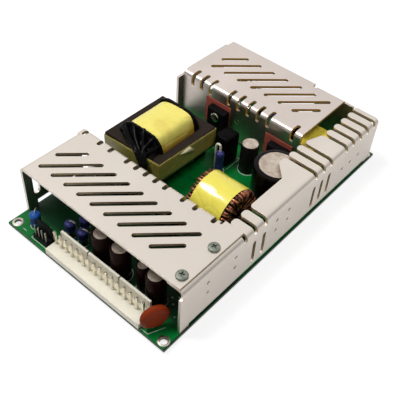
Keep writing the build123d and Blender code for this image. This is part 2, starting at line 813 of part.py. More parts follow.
def disc(place, turn, height, diameter, thickness):
    """Dipped disc: a round-edged lens standing on edge."""
    x, y = place
    radius = diameter / 2
    axis_dir = (-math.sin(math.radians(turn)), math.cos(math.radians(turn)), 0)
    with BuildPart(Plane(origin=(x, y, height), z_dir=axis_dir)) as made:
        Cylinder(radius, thickness)
        fillet(made.edges().filter_by(GeomType.CIRCLE), radius=thickness * disc_round)
    return made.part


def disc_leads(place, turn, height, diameter, spacing):
    """Two straight leads from a disc's lower edge to the board."""
    x, y = place
    along = (math.cos(math.radians(turn)), math.sin(math.radians(turn)))
    rise = height - math.sqrt((diameter / 2) ** 2 - (spacing / 2 - disc_lead / 2) ** 2) - top
    places = [(x + s * spacing / 2 * along[0], y + s * spacing / 2 * along[1]) for s in (-1, 1)]
    with BuildPart() as leads:
        with Locations(*[(px, py, top) for px, py in places]):
            Cylinder(disc_lead / 2, rise, align=(Align.CENTER, Align.CENTER, Align.MIN))
    joints.extend(places)
    return leads.part


# Disc capacitor at the end of the output header, thermistor and line capacitors at the mains end
stand = top + disc_stand
disc_rows = [
    ("disc_capacitor", disc_place, disc_turn, top + disc_height, disc_diameter, disc_thickness),
    ("inrush_thermistor", thermistor_place, 90.0, stand + thermistor_diameter / 2, thermistor_diameter,
     thermistor_thickness),
]
for place in y_capacitor_places:
    disc_rows.append(("y_capacitors", place, 0.0, stand + y_capacitor_diameter / 2,
                      y_capacitor_diameter, y_capacitor_thickness))
disc_sets, lead_sets = {}, []
for name, place, turn, height, diameter, thickness in disc_rows:
    disc_sets.setdefault(name, []).append(disc(place, turn, height, diameter, thickness))
    spacing = min(disc_lead_spacing, diameter * disc_lead_share)
    lead_sets.append(disc_leads(place, turn, height, diameter, spacing))
for name, pieces in disc_sets.items():
    write_group(pieces, name)
write_group(lead_sets, "disc_leads")


def standing_resistor(x, y, height):
    """Round-ended resistor body on its end."""
    with BuildPart() as body:
        with Locations((left + x, front + y, top + resistor_lift)):
            Cylinder(resistor_diameter / 2, height, align=(Align.CENTER, Align.CENTER, Align.MIN))
        fillet(body.edges().filter_by(GeomType.CIRCLE), radius=resistor_diameter * resistor_round)
    return body.part


def hairpin(x, y, turn, height, wire, rise):
    """Lead from the top of a standing resistor, over and down to the board."""
    dx, dy = math.cos(math.radians(turn)), math.sin(math.radians(turn))
    body_top = resistor_lift + height
    loop_top = body_top + rise
    side = Plane(origin=(left + x, front + y, top), x_dir=(dx, dy, 0), z_dir=(dy, -dx, 0))
    with BuildPart() as lead:
        with BuildLine(side) as route:
            FilletPolyline(
                (0, body_top), (0, loop_top), (resistor_loop, loop_top), (resistor_loop, 0),
                radius=loop_round * min(rise, resistor_loop / 2),
            )
        with BuildSketch(Plane(origin=(left + x, front + y, top + body_top), z_dir=(0, 0, 1))):
            Circle(wire / 2)
        sweep(path=route.line)
    joints.extend([(left + x, front + y), (left + x + dx * resistor_loop, front + y + dy * resistor_loop)])
    return lead.part


# Standing resistors and their leads, the tall one's in a sleeve
resistor_rows = [(*place, resistor_height, resistor_lead, resistor_rise) for place in resistor_places]
resistor_rows.append((*tall_resistor_place, tall_resistor_height, tall_resistor_lead, tall_resistor_rise))
hairpins = []
for i, (x, y, turn, height, wire, rise) in enumerate(resistor_rows, start=1):
    write(standing_resistor(x, y, height), f"standing_resistor_{i}")
    hairpins.append(hairpin(x, y, turn, height, wire, rise))
write_group(hairpins, "resistor_leads")


def screw_height(pad_top):
    """Height of the screw that goes through a package, a pad and the sheet."""
    return top + pad_top - pad_margin - package_screw_drop


def package(x, face, pad_top):
    """Flat power package in front of a pad, with its mounting hole."""
    high = top + pad_top - pad_margin
    seat = face - pad_thickness
    with BuildPart() as body:
        block(x - package_width / 2, x + package_width / 2, seat - package_thickness, seat,
              high - package_height, high)
        chamfer(body.faces().sort_by(Axis.Y)[0].edges(), length=package_chamfer)
        with Locations((x, seat, screw_height(pad_top))):
            Cylinder(package_hole / 2, 4 * package_thickness, rotation=(90, 0, 0), mode=Mode.SUBTRACT)
    return body.part


def insulator(x, face, pad_top, shift):
    """Insulating pad between a package and the sheet."""
    high = top + pad_top
    with BuildPart() as pad:
        block(x - shift - pad_width / 2, x - shift + pad_width / 2, face - pad_thickness, face,
              high - pad_height, high)
        with Locations((x, face, screw_height(pad_top))):
            Cylinder(package_hole / 2, 4 * sheet, rotation=(90, 0, 0), mode=Mode.SUBTRACT)
    return pad.part


def package_leads(x, face, pad_top):
    """Three flat leads from a package's foot to the board."""
    row = face - pad_thickness - package_thickness / 2
    low = top + pad_top - pad_margin - package_height
    places = [(x + i * package_lead_pitch, row) for i in (-1, 0, 1)]
    with BuildPart() as leads:
        with Locations(*[(px, py, top) for px, py in places]):
            Box(package_lead, package_lead / 2, low - top, align=(Align.CENTER, Align.CENTER, Align.MIN))
    joints.extend(places)
    return leads.part


# Switching transistors on the rear heat sink, output rectifiers inside the front one
inner_face = front_sink_face - sheet
leads, pads, screw_seats = [], [], []
screw_stack = pad_thickness + package_thickness
for i, (x, pad_top) in enumerate(zip(transistor_places, transistor_pad_tops), start=1):
    write(package(x, rear_sink_face, pad_top), f"switching_transistor_{i}")
    pads.append(insulator(x, rear_sink_face, pad_top, transistor_pad_shift))
    leads.append(package_leads(x, rear_sink_face, pad_top))
    screw_seats.append((x, rear_sink_face - screw_stack, screw_height(pad_top)))
for i, x in enumerate(rectifier_places, start=1):
    write(package(x, inner_face, rectifier_pad_top), f"output_rectifier_{i}")
    pads.append(insulator(x, inner_face, rectifier_pad_top, 0))
    leads.append(package_leads(x, inner_face, rectifier_pad_top))
    screw_seats.append((x, inner_face - screw_stack, screw_height(rectifier_pad_top)))
write_group(pads[:2], "transistor_pads")
write_group(pads[2:], "rectifier_pads")
write_group(leads[:2], "transistor_leads")
package_screw = screw(screw_stack + sheet)
with BuildPart() as package_screws:
    with Locations(*[Plane(origin=seat, z_dir=(0, 1, 0)) for seat in screw_seats]):
        add(package_screw)
write(package_screws.part, "package_screws")

# Bridge rectifier inside the rear heat sink's front wall
bridge_face = rear_sink_face + sheet
bridge_low = top + bridge_stand
with BuildPart() as bridge_rectifier:
    block(bridge_place - bridge_width / 2, bridge_place + bridge_width / 2, bridge_face,
          bridge_face + bridge_thickness, bridge_low, bridge_low + bridge_height)
    chamfer(bridge_rectifier.faces().sort_by(Axis.Y)[-1].edges(), length=package_chamfer)
    with Locations((bridge_place, bridge_face, top + bridge_screw_height)):
        Cylinder(package_hole / 2, 4 * bridge_thickness, rotation=(90, 0, 0), mode=Mode.SUBTRACT)
write(bridge_rectifier.part, "bridge_rectifier")
bridge_row = bridge_face + bridge_thickness / 2
bridge_span = (bridge_lead_count - 1) / 2
bridge_lead_places = [(bridge_place + (i - bridge_span) * bridge_lead_pitch, bridge_row)
                      for i in range(bridge_lead_count)]
with BuildPart() as bridge_leads:
    with Locations(*[(x, y, top) for x, y in bridge_lead_places]):
        Box(package_lead, package_lead / 2, bridge_stand, align=(Align.CENTER, Align.CENTER, Align.MIN))
write_group([*leads[2:], bridge_leads.part], "rectifier_leads")
joints.extend(bridge_lead_places)
bridge_seat = Plane(
    origin=(bridge_place, bridge_face + bridge_thickness, top + bridge_screw_height), z_dir=(0, -1, 0)
)
bridge_bolt = screw(bridge_thickness + sheet)
with BuildPart() as bridge_screw:
    with Locations(bridge_seat):
        add(bridge_bolt)
write(bridge_screw.part, "bridge_screw")


def boxed(place, size, rounding, spacing):
    """Box capacitor with rounded edges, on two leads."""
    x, y = place
    width, depth, height = size
    with BuildPart() as made:
        block(x, x + width, y, y + depth, top, top + height)
        upright = made.edges().filter_by(Axis.Z)
        fillet(upright + made.faces().sort_by(Axis.Z)[-1].edges(), radius=rounding)
    joints.extend((x + width / 2, y + depth / 2 + s * spacing / 2) for s in (-1, 1))
    return made.part


# Box capacitors
start_x = transformer_x + core_width / 2 + tape_thickness + start_gap
write(boxed((start_x, start_front), start_size, start_round, start_lead_spacing), "start_capacitor")
write(boxed(x_capacitor_start, x_capacitor_size, x_capacitor_round, x_capacitor_lead_spacing), "x_capacitor")

# Cartridge fuse, its end caps and their leads
fuse_x, fuse_y = fuse_place
fuse_height = top + fuse_lift + fuse_diameter / 2 + fuse_cap_wall
fuse_axis = Plane(origin=(fuse_x, fuse_y, fuse_height), z_dir=(1, 0, 0))
with BuildPart(fuse_axis) as fuse:
    Cylinder(fuse_diameter / 2, fuse_length)
write(fuse.part, "fuse")
cap_radius = fuse_diameter / 2 + fuse_cap_wall
cap_middle = fuse_length / 2 + fuse_cap_wall - fuse_cap_length / 2
with BuildPart() as fuse_caps:
    with Locations((fuse_x - cap_middle, fuse_y, fuse_height), (fuse_x + cap_middle, fuse_y, fuse_height)):
        Cylinder(cap_radius, fuse_cap_length, rotation=(0, 90, 0))
        Cylinder(fuse_lead / 2, fuse_height - top, align=(Align.CENTER, Align.CENTER, Align.MAX))
    with Locations((fuse_x, fuse_y, fuse_height)):
        Cylinder(fuse_diameter / 2, fuse_length, rotation=(0, 90, 0), mode=Mode.SUBTRACT)
write(fuse_caps.part, "fuse_caps")
joints.extend((fuse_x + s * cap_middle, fuse_y) for s in (-1, 1))


def chip(place, legs):
    """Moulded chip body lifted by its legs."""
    x, y = place
    with BuildPart() as body:
        with Locations((x, y, top + chip_lift)):
            Box(legs * chip_pitch, chip_body_width, chip_body_height,
                align=(Align.CENTER, Align.CENTER, Align.MIN))
        chamfer(body.faces().sort_by(Axis.Z)[-1].edges(), length=package_chamfer)
    return body.part


def chip_legs(place, legs):
    """Two rows of bent legs beside a chip."""
    x, y = place
    shoulder = top + chip_lift + chip_body_height / 2
    places = [(x + (i - (legs - 1) / 2) * chip_pitch, s) for i in range(legs) for s in (-1, 1)]
    inner, outer = chip_body_width / 2, chip_row / 2 + chip_leg / 2
    with BuildPart() as made:
        for px, s in places:
            y0, y1 = sorted((y + s * inner, y + s * outer))
            block(px - chip_leg / 2, px + chip_leg / 2, y0, y1, shoulder - chip_leg, shoulder)
            y0, y1 = sorted((y + s * (outer - chip_leg), y + s * outer))
            block(px - chip_leg / 2, px + chip_leg / 2, y0, y1, top, shoulder)
    joints.extend((px, y + s * chip_row / 2) for px, s in places)
    return made.part


# Control chip and optocouplers
control_chip_place = (control_chip_x, (core_back + rear_sink_face) / 2)
write(chip(control_chip_place, control_chip_legs), "control_chip")
leg_sets = [chip_legs(control_chip_place, control_chip_legs)]
leg_sets.extend(chip_legs(place, optocoupler_legs) for place in optocoupler_places)
write_group([chip(place, optocoupler_legs) for place in optocoupler_places], "optocouplers")
write_group(leg_sets, "chip_legs")

# Trimmed leads and solder on the underside
with BuildPart() as solder_joints:
    with Locations(*[(x, y, 0) for x, y in joints]):
        Cone(joint_tip, joint_radius, joint_height, align=(Align.CENTER, Align.CENTER, Align.MAX))
write(solder_joints.part, "solder_joints")
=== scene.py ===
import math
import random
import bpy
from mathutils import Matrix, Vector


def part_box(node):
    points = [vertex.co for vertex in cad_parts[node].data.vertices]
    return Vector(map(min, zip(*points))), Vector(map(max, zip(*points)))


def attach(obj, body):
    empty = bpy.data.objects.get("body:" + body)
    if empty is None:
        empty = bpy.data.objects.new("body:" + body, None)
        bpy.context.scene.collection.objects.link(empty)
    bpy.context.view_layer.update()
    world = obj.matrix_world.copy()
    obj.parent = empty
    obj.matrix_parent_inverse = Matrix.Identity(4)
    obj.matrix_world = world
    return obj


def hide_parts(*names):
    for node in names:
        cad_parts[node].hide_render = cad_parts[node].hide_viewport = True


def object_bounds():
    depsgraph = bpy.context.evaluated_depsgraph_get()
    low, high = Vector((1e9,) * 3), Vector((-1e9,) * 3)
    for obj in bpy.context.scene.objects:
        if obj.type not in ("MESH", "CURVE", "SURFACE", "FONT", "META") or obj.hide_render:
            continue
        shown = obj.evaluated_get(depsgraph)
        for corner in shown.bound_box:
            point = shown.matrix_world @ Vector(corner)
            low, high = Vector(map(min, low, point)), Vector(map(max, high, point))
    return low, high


bl_info = {
    "name": "Open frame power supply",
    "version": (1, 0, 0),
    "blender": (4, 5, 0),
    "location": "View3D > Sidebar > Power supply",
    "description": "Dresses the packed power supply with detailed pieces, finishes and a studio",
    "category": "Object",
}

import bmesh
import bpy
from bpy.props import FloatProperty, FloatVectorProperty, IntProperty, PointerProperty
from mathutils import Matrix, Vector, noise

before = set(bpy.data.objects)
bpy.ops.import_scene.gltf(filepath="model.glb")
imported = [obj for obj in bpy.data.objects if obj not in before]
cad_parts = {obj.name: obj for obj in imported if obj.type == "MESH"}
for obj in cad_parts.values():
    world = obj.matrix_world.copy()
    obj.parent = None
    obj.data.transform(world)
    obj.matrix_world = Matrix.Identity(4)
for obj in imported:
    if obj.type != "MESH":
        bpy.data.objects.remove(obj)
cad_low, cad_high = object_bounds()
board_low, board_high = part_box("circuit_board")
MM = 0.001
MERGE = 0.000002
UP = Vector((0, 0, 1))
BACK = Vector((0, 1, 0))


def at(x, y, z=0.0):
    """Point in millimetres from the board's front left corner, z above its component side."""
    return Vector((board_low.x + x * MM, board_low.y + y * MM, board_high.z + z * MM))


def level(z):
    """Height of a point that many millimetres above the component side."""
    return at(0, 0, z).z


def ink(red, green, blue):
    """Linear colour from the 0 to 255 values of a screen."""
    def line(value):
        value /= 255
        return value / 12.92 if value <= 0.04045 else ((value + 0.055) / 1.055) ** 2.4
    return (line(red), line(green), line(blue))


def colour(name, description, red, green, blue):
    return FloatVectorProperty(name=name, description=description, subtype="COLOR", size=3, min=0, max=1,
                               default=ink(red, green, blue))


def length(name, description, millimetres):
    return FloatProperty(name=name, description=description, unit="LENGTH", subtype="DISTANCE", min=0.00001,
                         precision=5, default=millimetres * MM)


class SupplyColours(bpy.types.PropertyGroup):
    """Colours of the supply's finishes."""
    mask: colour("Solder mask", "Green lacquer over the copper", 3, 108, 44)
    # Painted shade: the mask's colour under the front plate and on the strip beside the wall
    mask_painted_shade: colour("Shaded mask", "Green lacquer under the front plate and beside the wall", 1, 46, 20)
    mask_bare: colour("Bare mask", "Green lacquer where there is no copper under it", 2, 90, 37)
    laminate: colour("Laminate", "Cut edge of the board", 14, 56, 30)
    print_white: colour("Print", "White lines on the board", 225, 232, 222)
    aluminium: colour("Aluminium", "Mill finish of the front sink and the wall", 229, 219, 208)
    aluminium_rear: colour("Rear aluminium", "Mill finish of the rear sink", 224, 212, 204)
    # Cut tones, darker and warmer than the mill finish: partly the duller real cut, partly painted shade and reflected
    # light in the slots; the golden one is painted light reflected from the yellow parts under the rear sink
    cut: colour("Cut edge", "Dull cut faces of the front sink", 168, 148, 118)
    cut_wall: colour("Wall cut edge", "Cut faces of the side wall", 206, 178, 142)
    cut_painted_gold_light: colour("Golden cut edge", "Cut faces of the rear sink, lit by the yellow parts under it", 222, 172, 84)
    zinc: colour("Zinc", "Plated screws of the plate", 146, 150, 138)
    ivory: colour("Ivory", "Nylon of the white headers", 240, 234, 216)
    black: colour("Black nylon", "Nylon of the control header and the bobbin", 22, 21, 22)
    tin: colour("Tin", "Leads, pads and solder", 196, 190, 176)
    brass: colour("Brass", "Contacts of the white headers", 246, 240, 224)
    ferrite: colour("Ferrite", "Transformer core", 44, 36, 31)
    film: colour("Film", "Yellow polyester tape", 246, 232, 118)
    band: colour("Band", "Yellow tape round the choke", 242, 228, 92)
    # Deeper tone of the winding's tape, in patches and towards the bottom of the winding
    film_deep: colour("Deep film", "Tape where the winding shows through", 206, 158, 48)
    film_olive: colour("Film on ferrite", "Yellow tape with the dark core behind it", 150, 138, 66)
    copper: colour("Copper", "Enamelled wire", 186, 118, 84)
    # Darker copper tone, laid in random patches over the wire
    copper_dark: colour("Dark copper", "Enamel in the gaps of the winding", 52, 20, 12)
    sleeve: colour("Sleeve", "Shrunk sleeve of the cans", 28, 19, 17)
    sleeve_brown: colour("Brown sleeve", "Shrunk sleeve of the output cans", 46, 25, 20)
    can_top: colour("Can top", "Bare end of the cans", 212, 200, 184)
    can_dull: colour("Dull can top", "Stained patches of the cans' ends", 166, 146, 130)
    disc: colour("Disc", "Dipped coating of the disc", 144, 52, 20)
    lacquer: colour("Lacquer", "Blue body of the resistors", 52, 54, 118)
    lacquer_bright: colour("Bright lacquer", "Blue body of the resistor at the corner", 22, 84, 160)
    package: colour("Package", "Moulded black of the power packages and chips", 20, 19, 20)
    pad: colour("Pad", "Insulating pad behind a package", 178, 88, 72)
    box: colour("Box", "Moulded yellow capacitor", 248, 224, 76)


# Dark and light tones of the small finishes that have no property
RING_TONES = ((0.02, 0.03, 0.02), (0.04, 0.055, 0.04))
BUNG_TONES = ((0.012, 0.012, 0.012), (0.03, 0.03, 0.03))
THERMISTOR_TONES = ((0.012, 0.016, 0.012), (0.03, 0.035, 0.028))
LINE_DISC_TONES = ((0.015, 0.06, 0.19), (0.025, 0.09, 0.27))
WRAP_TONES = ((0.001, 0.001, 0.001), (0.003, 0.0025, 0.0025))
# Lifted tape end: yellow film with no core behind it, and paler than that as a painted highlight
LIFTED_HIGHLIGHT_TONES = ((0.86, 0.8, 0.5), (0.9, 0.86, 0.62))
GLASS_TONES = ((0.93, 0.97, 0.94), (0.99, 1.0, 0.99))
STRIPE_TONE = (0.022, 0.018, 0.016)


class SupplySizes(bpy.types.PropertyGroup):
    """Sizes of the detail that the scene adds."""
    print_line: length("Print line", "Width of the white lines", 0.28)
    print_rise: length("Print rise", "Height of the white lines over the mask", 0.03)
    pad_ring: length("Hole pad", "Diameter of the tinned ring at a mounting hole", 6.0)
    choke_wire: length("Choke wire", "Diameter of the choke's wire", 1.3)
    choke_turns: IntProperty(name="Choke turns", description="Turns on the choke", min=6, default=44)
    line_wire: length("Line choke wire", "Diameter of the line choke's wire", 0.8)
    line_turns: IntProperty(name="Line choke turns", description="Turns on the line choke", min=6, default=42)
    sleeve_wire: length("Sleeved lead", "Diameter of the transformer's sleeved leads", 2.0)


def palette():
    return bpy.context.scene.supply_colours


def sizes():
    return bpy.context.scene.supply_sizes


# Node helpers

def join(tree, socket, value):
    """Link a socket to another one, or set its value."""
    if isinstance(value, bpy.types.NodeSocket):
        tree.links.new(value, socket)
    else:
        socket.default_value = value


def put(tree, kind, inputs=None, **settings):
    """Add a shader node, set its options, and set or link its inputs."""
    made = tree.nodes.new("ShaderNode" + kind)
    for key, value in settings.items():
        setattr(made, key, value)
    for key, value in (inputs or {}).items():
        join(tree, made.inputs[key], value)
    return made


def feed(tree, shader, **inputs):
    """Set or link the inputs of a shader by name."""
    for key, value in inputs.items():
        join(tree, shader.inputs[key.replace("_", " ")], value)


def shade(value, factor):
    """Darker or lighter copy of a colour."""
    return tuple(min(1.0, channel * factor) for channel in value)


def tones(value, low, high=1.0):
    """Dark and light copies of a colour."""
    return shade(value, low), shade(value, high)


def mix(tree, factor, first, second):
    """Colour between two colours."""
    first, second = (value if isinstance(value, bpy.types.NodeSocket) else (*value, 1.0) for value in (first, second))
    return put(tree, "Mix", {0: factor, 6: first, 7: second}, data_type="RGBA").outputs[2]


def between(tree, value, low, high, to_low=0.0, to_high=1.0):
    """Value moved from one range to another and held there."""
    return put(tree, "MapRange", {"Value": value, "From Min": low, "From Max": high, "To Min": to_low,
                                  "To Max": to_high}).outputs[0]


def calc(tree, operation, first, second=0.0):
    """Number worked out from one or two numbers."""
    return put(tree, "Math", {0: first, 1: second}, operation=operation).outputs[0]


def times(tree, first, second):
    """Product of two values."""
    return calc(tree, "MULTIPLY", first, second)


def dot(tree, first, second):
    """Dot product of two vectors."""
    return put(tree, "VectorMath", {0: first, 1: second}, operation="DOT_PRODUCT").outputs["Value"]


def axes(tree, vector):
    """X, Y and Z of a vector."""
    return put(tree, "SeparateXYZ", {"Vector": vector}).outputs


def cloud(tree, place, scale, detail=3.0, roughness=0.55, stretch=None, distortion=0.0):
    """Noise over the object, stretched along an axis where the grain runs that way."""
    if stretch:
        place = put(tree, "Mapping", {"Vector": place, "Scale": stretch}).outputs[0]
    return put(tree, "TexNoise", {"Vector": place, "Scale": scale, "Detail": detail, "Roughness": roughness,
                                  "Distortion": distortion}).outputs["Fac"]


def cells(tree, place, scale, randomness=1.0, **settings):
    """Distance in a pattern of cells over the object."""
    return put(tree, "TexVoronoi", {"Vector": place, "Scale": scale, "Randomness": randomness},
               **settings).outputs["Distance"]


def bumped(tree, height, strength, distance, normal=None):
    """Normal from a height."""
    inputs = {"Height": height, "Strength": strength, "Distance": distance}
    if normal:
        inputs["Normal"] = normal
    return put(tree, "Bump", inputs).outputs[0]


def flat_normal(tree):
    """Normal of the face itself."""
    return put(tree, "NewGeometry").outputs["True Normal"]


def rounded(tree, radius):
    """Normal that runs softly over the edges."""
    return put(tree, "Bevel", {"Radius": radius}, samples=4).outputs[0]


def edge_mask(tree, soft):
    """One along the edges, where the soft normal leaves the face's own."""
    return between(tree, dot(tree, soft, flat_normal(tree)), 0.995, 0.80)


def start(name):
    """New finish with its tree, shader and object coordinates."""
    finish = bpy.data.materials.new(name)
    finish.use_nodes = True
    tree = finish.node_tree
    place = put(tree, "TexCoord").outputs["Object"]
    return finish, tree, tree.nodes["Principled BSDF"], place


# Finishes

def mottled(name, pair, scale, rough, metallic=0.0, grain=900.0, depth=0.00002, strength=0.3, stretch=None,
            edge=0.00018, worn=None, specular=0.5, painted_shade_mark=None):
    """Finish with clouded colour and roughness, fine grain, soft edges and, where one is given, painted shade."""
    finish, tree, shader, place = start(name)
    patches = cloud(tree, place, scale, 4.0, 0.6, stretch)
    tone = mix(tree, between(tree, patches, 0.32, 0.68), *pair)
    soft = rounded(tree, edge)
    if worn:
        tone = mix(tree, edge_mask(tree, soft), tone, worn)
    # Painted shade, where one is given, darkens the tone
    if painted_shade_mark:
        tone = painted_shade_mark(tree, place, tone)
    fine = cloud(tree, place, grain, 3.0, 0.6, stretch)
    feed(tree, shader, Base_Color=tone, Metallic=metallic, Specular_IOR_Level=specular,
         Roughness=between(tree, patches, 0.25, 0.75, *rough), Normal=bumped(tree, fine, strength, depth, soft))
    return finish


def tinned(name, low=0.75, high=1.0, scale=500.0, rough=(0.25, 0.4), **more):
    """Finish of tinned metal."""
    return mottled(name, tones(palette().tin, low, high), scale, rough, 1.0, **more)


def board_finish():
    """Solder mask over copper runs, with painted shade under the front plate and beside the wall, and a cut laminate
    edge.
    """
    hue = palette()
    finish, tree, shader, place = start("solder_mask")
    first, second = (cells(tree, place, 105.0, 0.85, distance="CHEBYCHEV", feature=feature) for feature in ("F1", "F2"))
    copper = between(tree, calc(tree, "SUBTRACT", second, first), 0.03, 0.045)
    patches = cloud(tree, place, 60.0, 4.0, 0.6)
    lacquer = mix(tree, copper, hue.mask_bare, hue.mask)
    lacquer = mix(tree, between(tree, patches, 0.35, 0.8, 0.0, 0.35), lacquer, shade(hue.mask, 0.6))
    # Painted shade on the mask under the front plate and on the strip beside the side wall
    low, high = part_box("front_heat_sink")
    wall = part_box("side_wall")[1].x
    x, y, _ = axes(tree, place)
    painted_shade_under_metal = times(tree, between(tree, y, low.y - 0.0015, low.y + 0.0025), between(tree, y, high.y, high.y - 0.004))
    painted_shade_under_metal = calc(tree, "MAXIMUM", painted_shade_under_metal, between(tree, x, wall - 0.0002, wall))
    lacquer = mix(tree, painted_shade_under_metal, lacquer, hue.mask_painted_shade)
    upright = calc(tree, "ABSOLUTE", axes(tree, put(tree, "NewGeometry").outputs["Normal"])["Z"])
    fibre = cloud(tree, place, 2500.0, 2.0, 0.5, (1.0, 1.0, 6.0))
    edge = mix(tree, fibre, *tones(hue.laminate, 0.5))
    tone = mix(tree, between(tree, upright, 0.4, 0.6), edge, lacquer)
    fine = cloud(tree, place, 1500.0)
    feed(tree, shader, Base_Color=tone, Roughness=between(tree, patches, 0.3, 0.7, 0.3, 0.45), Specular_IOR_Level=0.22,
         Normal=bumped(tree, copper, 0.35, 0.00004, bumped(tree, fine, 0.1, 0.00002)))
    return finish


def sheet_finish(name, mill, cut_axis, cut_from, painted_highlight_below, cut_tone, cut_metal):
    """Mill finish aluminium: rolled grain and faint smears; edges lighter, partly rubbed and partly a painted
    highlight; dull cut faces in a tone that is partly painted shade and reflected light; painted highlight on the lower
    ends of the slots.
    """
    finish, tree, shader, place = start(name)
    smears = cloud(tree, place, 28.0, 5.0, 0.62, (1.0, 0.45, 1.0), 0.4)
    wide = cloud(tree, place, 9.0, 2.0, 0.5)
    grain = cloud(tree, place, 2600.0, 2.0, 0.6, (0.04, 1.0, 1.0))
    specks = cells(tree, place, 230.0)
    tone = mix(tree, between(tree, smears, 0.3, 0.75), mill, shade(mill, 0.87))
    tone = mix(tree, between(tree, wide, 0.4, 0.7, 0.0, 0.6), tone, shade(mill, 0.86))
    tone = mix(tree, between(tree, specks, 0.045, 0.02, 0.0, 0.25), tone, shade(mill, 0.4))
    soft = rounded(tree, 0.00028)
    facing, spot = axes(tree, flat_normal(tree)), axes(tree, place)
    # Cut faces get the cut tone: partly the duller real cut, partly painted shade and reflected light in the slots
    cut = times(tree, between(tree, calc(tree, "ABSOLUTE", facing[cut_axis]), 0.3, 0.5),
                between(tree, spot[cut_axis], cut_from, cut_from + 0.0001))
    # Painted highlight: up-facing faces below a height, the lower ends of the slots, made paler and less metallic
    bright = times(tree, between(tree, facing["Z"], 0.3, 0.5),
                   between(tree, spot["Z"], painted_highlight_below, painted_highlight_below - 0.0001))
    # Edges lighter: partly rubbed metal, partly a painted highlight
    tone = mix(tree, between(tree, edge_mask(tree, soft), 0.0, 1.0, 0.0, 0.7), tone, shade(mill, 1.12))
    tone = mix(tree, cut, tone, cut_tone)
    tone = mix(tree, bright, tone, shade(mill, 1.3))
    rough = calc(tree, "ADD", between(tree, smears, 0.3, 0.75, 0.30, 0.40), between(tree, grain, 0.2, 0.8, 0.0, 0.08))
    metal = calc(tree, "MINIMUM", between(tree, cut, 0.0, 1.0, 1.0, cut_metal),
                 between(tree, bright, 0.0, 1.0, 1.0, 0.3))
    feed(tree, shader, Base_Color=tone, Metallic=metal, Roughness=rough,
         Normal=bumped(tree, grain, 0.12, 0.00002, bumped(tree, smears, 0.08, 0.0006, soft)))
    return finish


def film_finish(name, pair, scale, crease, clear, sink=None):
    """Glossy polyester tape with creases and patches of a deeper tone."""
    light, deep = pair
    finish, tree, shader, place = start(name)
    patches = cloud(tree, place, scale, 4.0, 0.6)
    folds = cells(tree, place, scale * 2.2, feature="DISTANCE_TO_EDGE")
    tone = mix(tree, between(tree, patches, 0.55, 0.95), light, deep)
    # Where a sink is given, the tone turns deeper towards the bottom, between its two heights
    if sink:
        height = calc(tree, "ADD", axes(tree, place)["Z"], between(tree, patches, 0.3, 0.7, -0.003, 0.003))
        tone = mix(tree, between(tree, height, *sink), tone, deep)
    fine = bumped(tree, cloud(tree, place, 420.0), 0.12, 0.00008, rounded(tree, 0.0002))
    feed(tree, shader, Base_Color=tone, Roughness=between(tree, patches, 0.3, 0.7, 0.2, 0.36), Coat_Weight=clear,
         Coat_Roughness=0.08, Specular_IOR_Level=0.25,
         Normal=bumped(tree, between(tree, folds, 0.0, 0.08), crease, 0.0003, fine))
    return finish


def can_end_finish():
    """Bare end of a can, with its scored vent drawn from the piece's own map."""
    hue = palette()
    finish, tree, shader, place = start("can_end")
    x, y, _ = axes(tree, put(tree, "UVMap", uv_map="end").outputs[0])
    arms = [calc(tree, "ABSOLUTE", axis) for axis in (x, y)]
    score = times(tree, between(tree, calc(tree, "MINIMUM", *arms), 0.045, 0.02),
                  between(tree, calc(tree, "MAXIMUM", *arms), 0.66, 0.62))
    patches = cloud(tree, place, 260.0, 5.0, 0.7)
    tone = mix(tree, between(tree, patches, 0.36, 0.66), hue.can_top, hue.can_dull)
    tone = mix(tree, times(tree, score, 0.3), tone, shade(hue.can_top, 0.45))
    fine = bumped(tree, cloud(tree, place, 1400.0), 0.15, 0.00003)
    feed(tree, shader, Base_Color=tone, Metallic=0.15, Roughness=between(tree, patches, 0.3, 0.7, 0.38, 0.55),
         Normal=bumped(tree, calc(tree, "SUBTRACT", 1.0, score), 0.25, 0.0002, fine))
    return finish


def copper_finish():
    """Enamelled wire: metal under a clear red brown lacquer."""
    hue = palette()
    finish, tree, shader, place = start("enamelled_copper")
    patches = cloud(tree, place, 330.0, 3.0, 0.6)
    tone = mix(tree, between(tree, patches, 0.4, 0.58), hue.copper, hue.copper_dark)
    fine = cloud(tree, place, 900.0)
    feed(tree, shader, Base_Color=tone, Metallic=0.6, Roughness=between(tree, patches, 0.3, 0.7, 0.24, 0.4),
         Coat_Weight=0.15, Coat_Roughness=0.08, Specular_IOR_Level=0.2, Normal=bumped(tree, fine, 0.1, 0.00005))
    return finish


def glass_finish():
    """Clear glass of the fuse, with a faint green body and smears."""
    finish, tree, shader, place = start("fuse_glass")
    smears = cloud(tree, place, 300.0)
    feed(tree, shader, Base_Color=mix(tree, smears, *GLASS_TONES), Transmission_Weight=1.0, IOR=1.48,
         Roughness=between(tree, smears, 0.4, 0.8, 0.0, 0.06))
    return finish


# Mesh helpers

def settled(name, bm):
    """Mesh from a bmesh, which is freed."""
    mesh = bpy.data.meshes.new(name)
    bm.to_mesh(mesh)
    bm.free()
    return mesh


def placed(name, data):
    """New object in the scene."""
    made = bpy.data.objects.new(name, data)
    bpy.context.scene.collection.objects.link(made)
    return made


def finished(name, bm, finishes, nodes=(), crease=35.0):
    """Turn a bmesh into a piece that rides on the supply."""
    bmesh.ops.remove_doubles(bm, verts=bm.verts, dist=MERGE)
    bmesh.ops.dissolve_degenerate(bm, edges=bm.edges, dist=MERGE)
    bmesh.ops.recalc_face_normals(bm, faces=bm.faces)
    mesh = settled(name, bm)
    for finish in finishes:
        mesh.materials.append(finish)
    mesh.shade_smooth()
    mesh.set_sharp_from_angle(angle=math.radians(crease))
    made = placed(name, mesh)
    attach(made, "root")
    if nodes:
        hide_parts(*nodes)
    return made


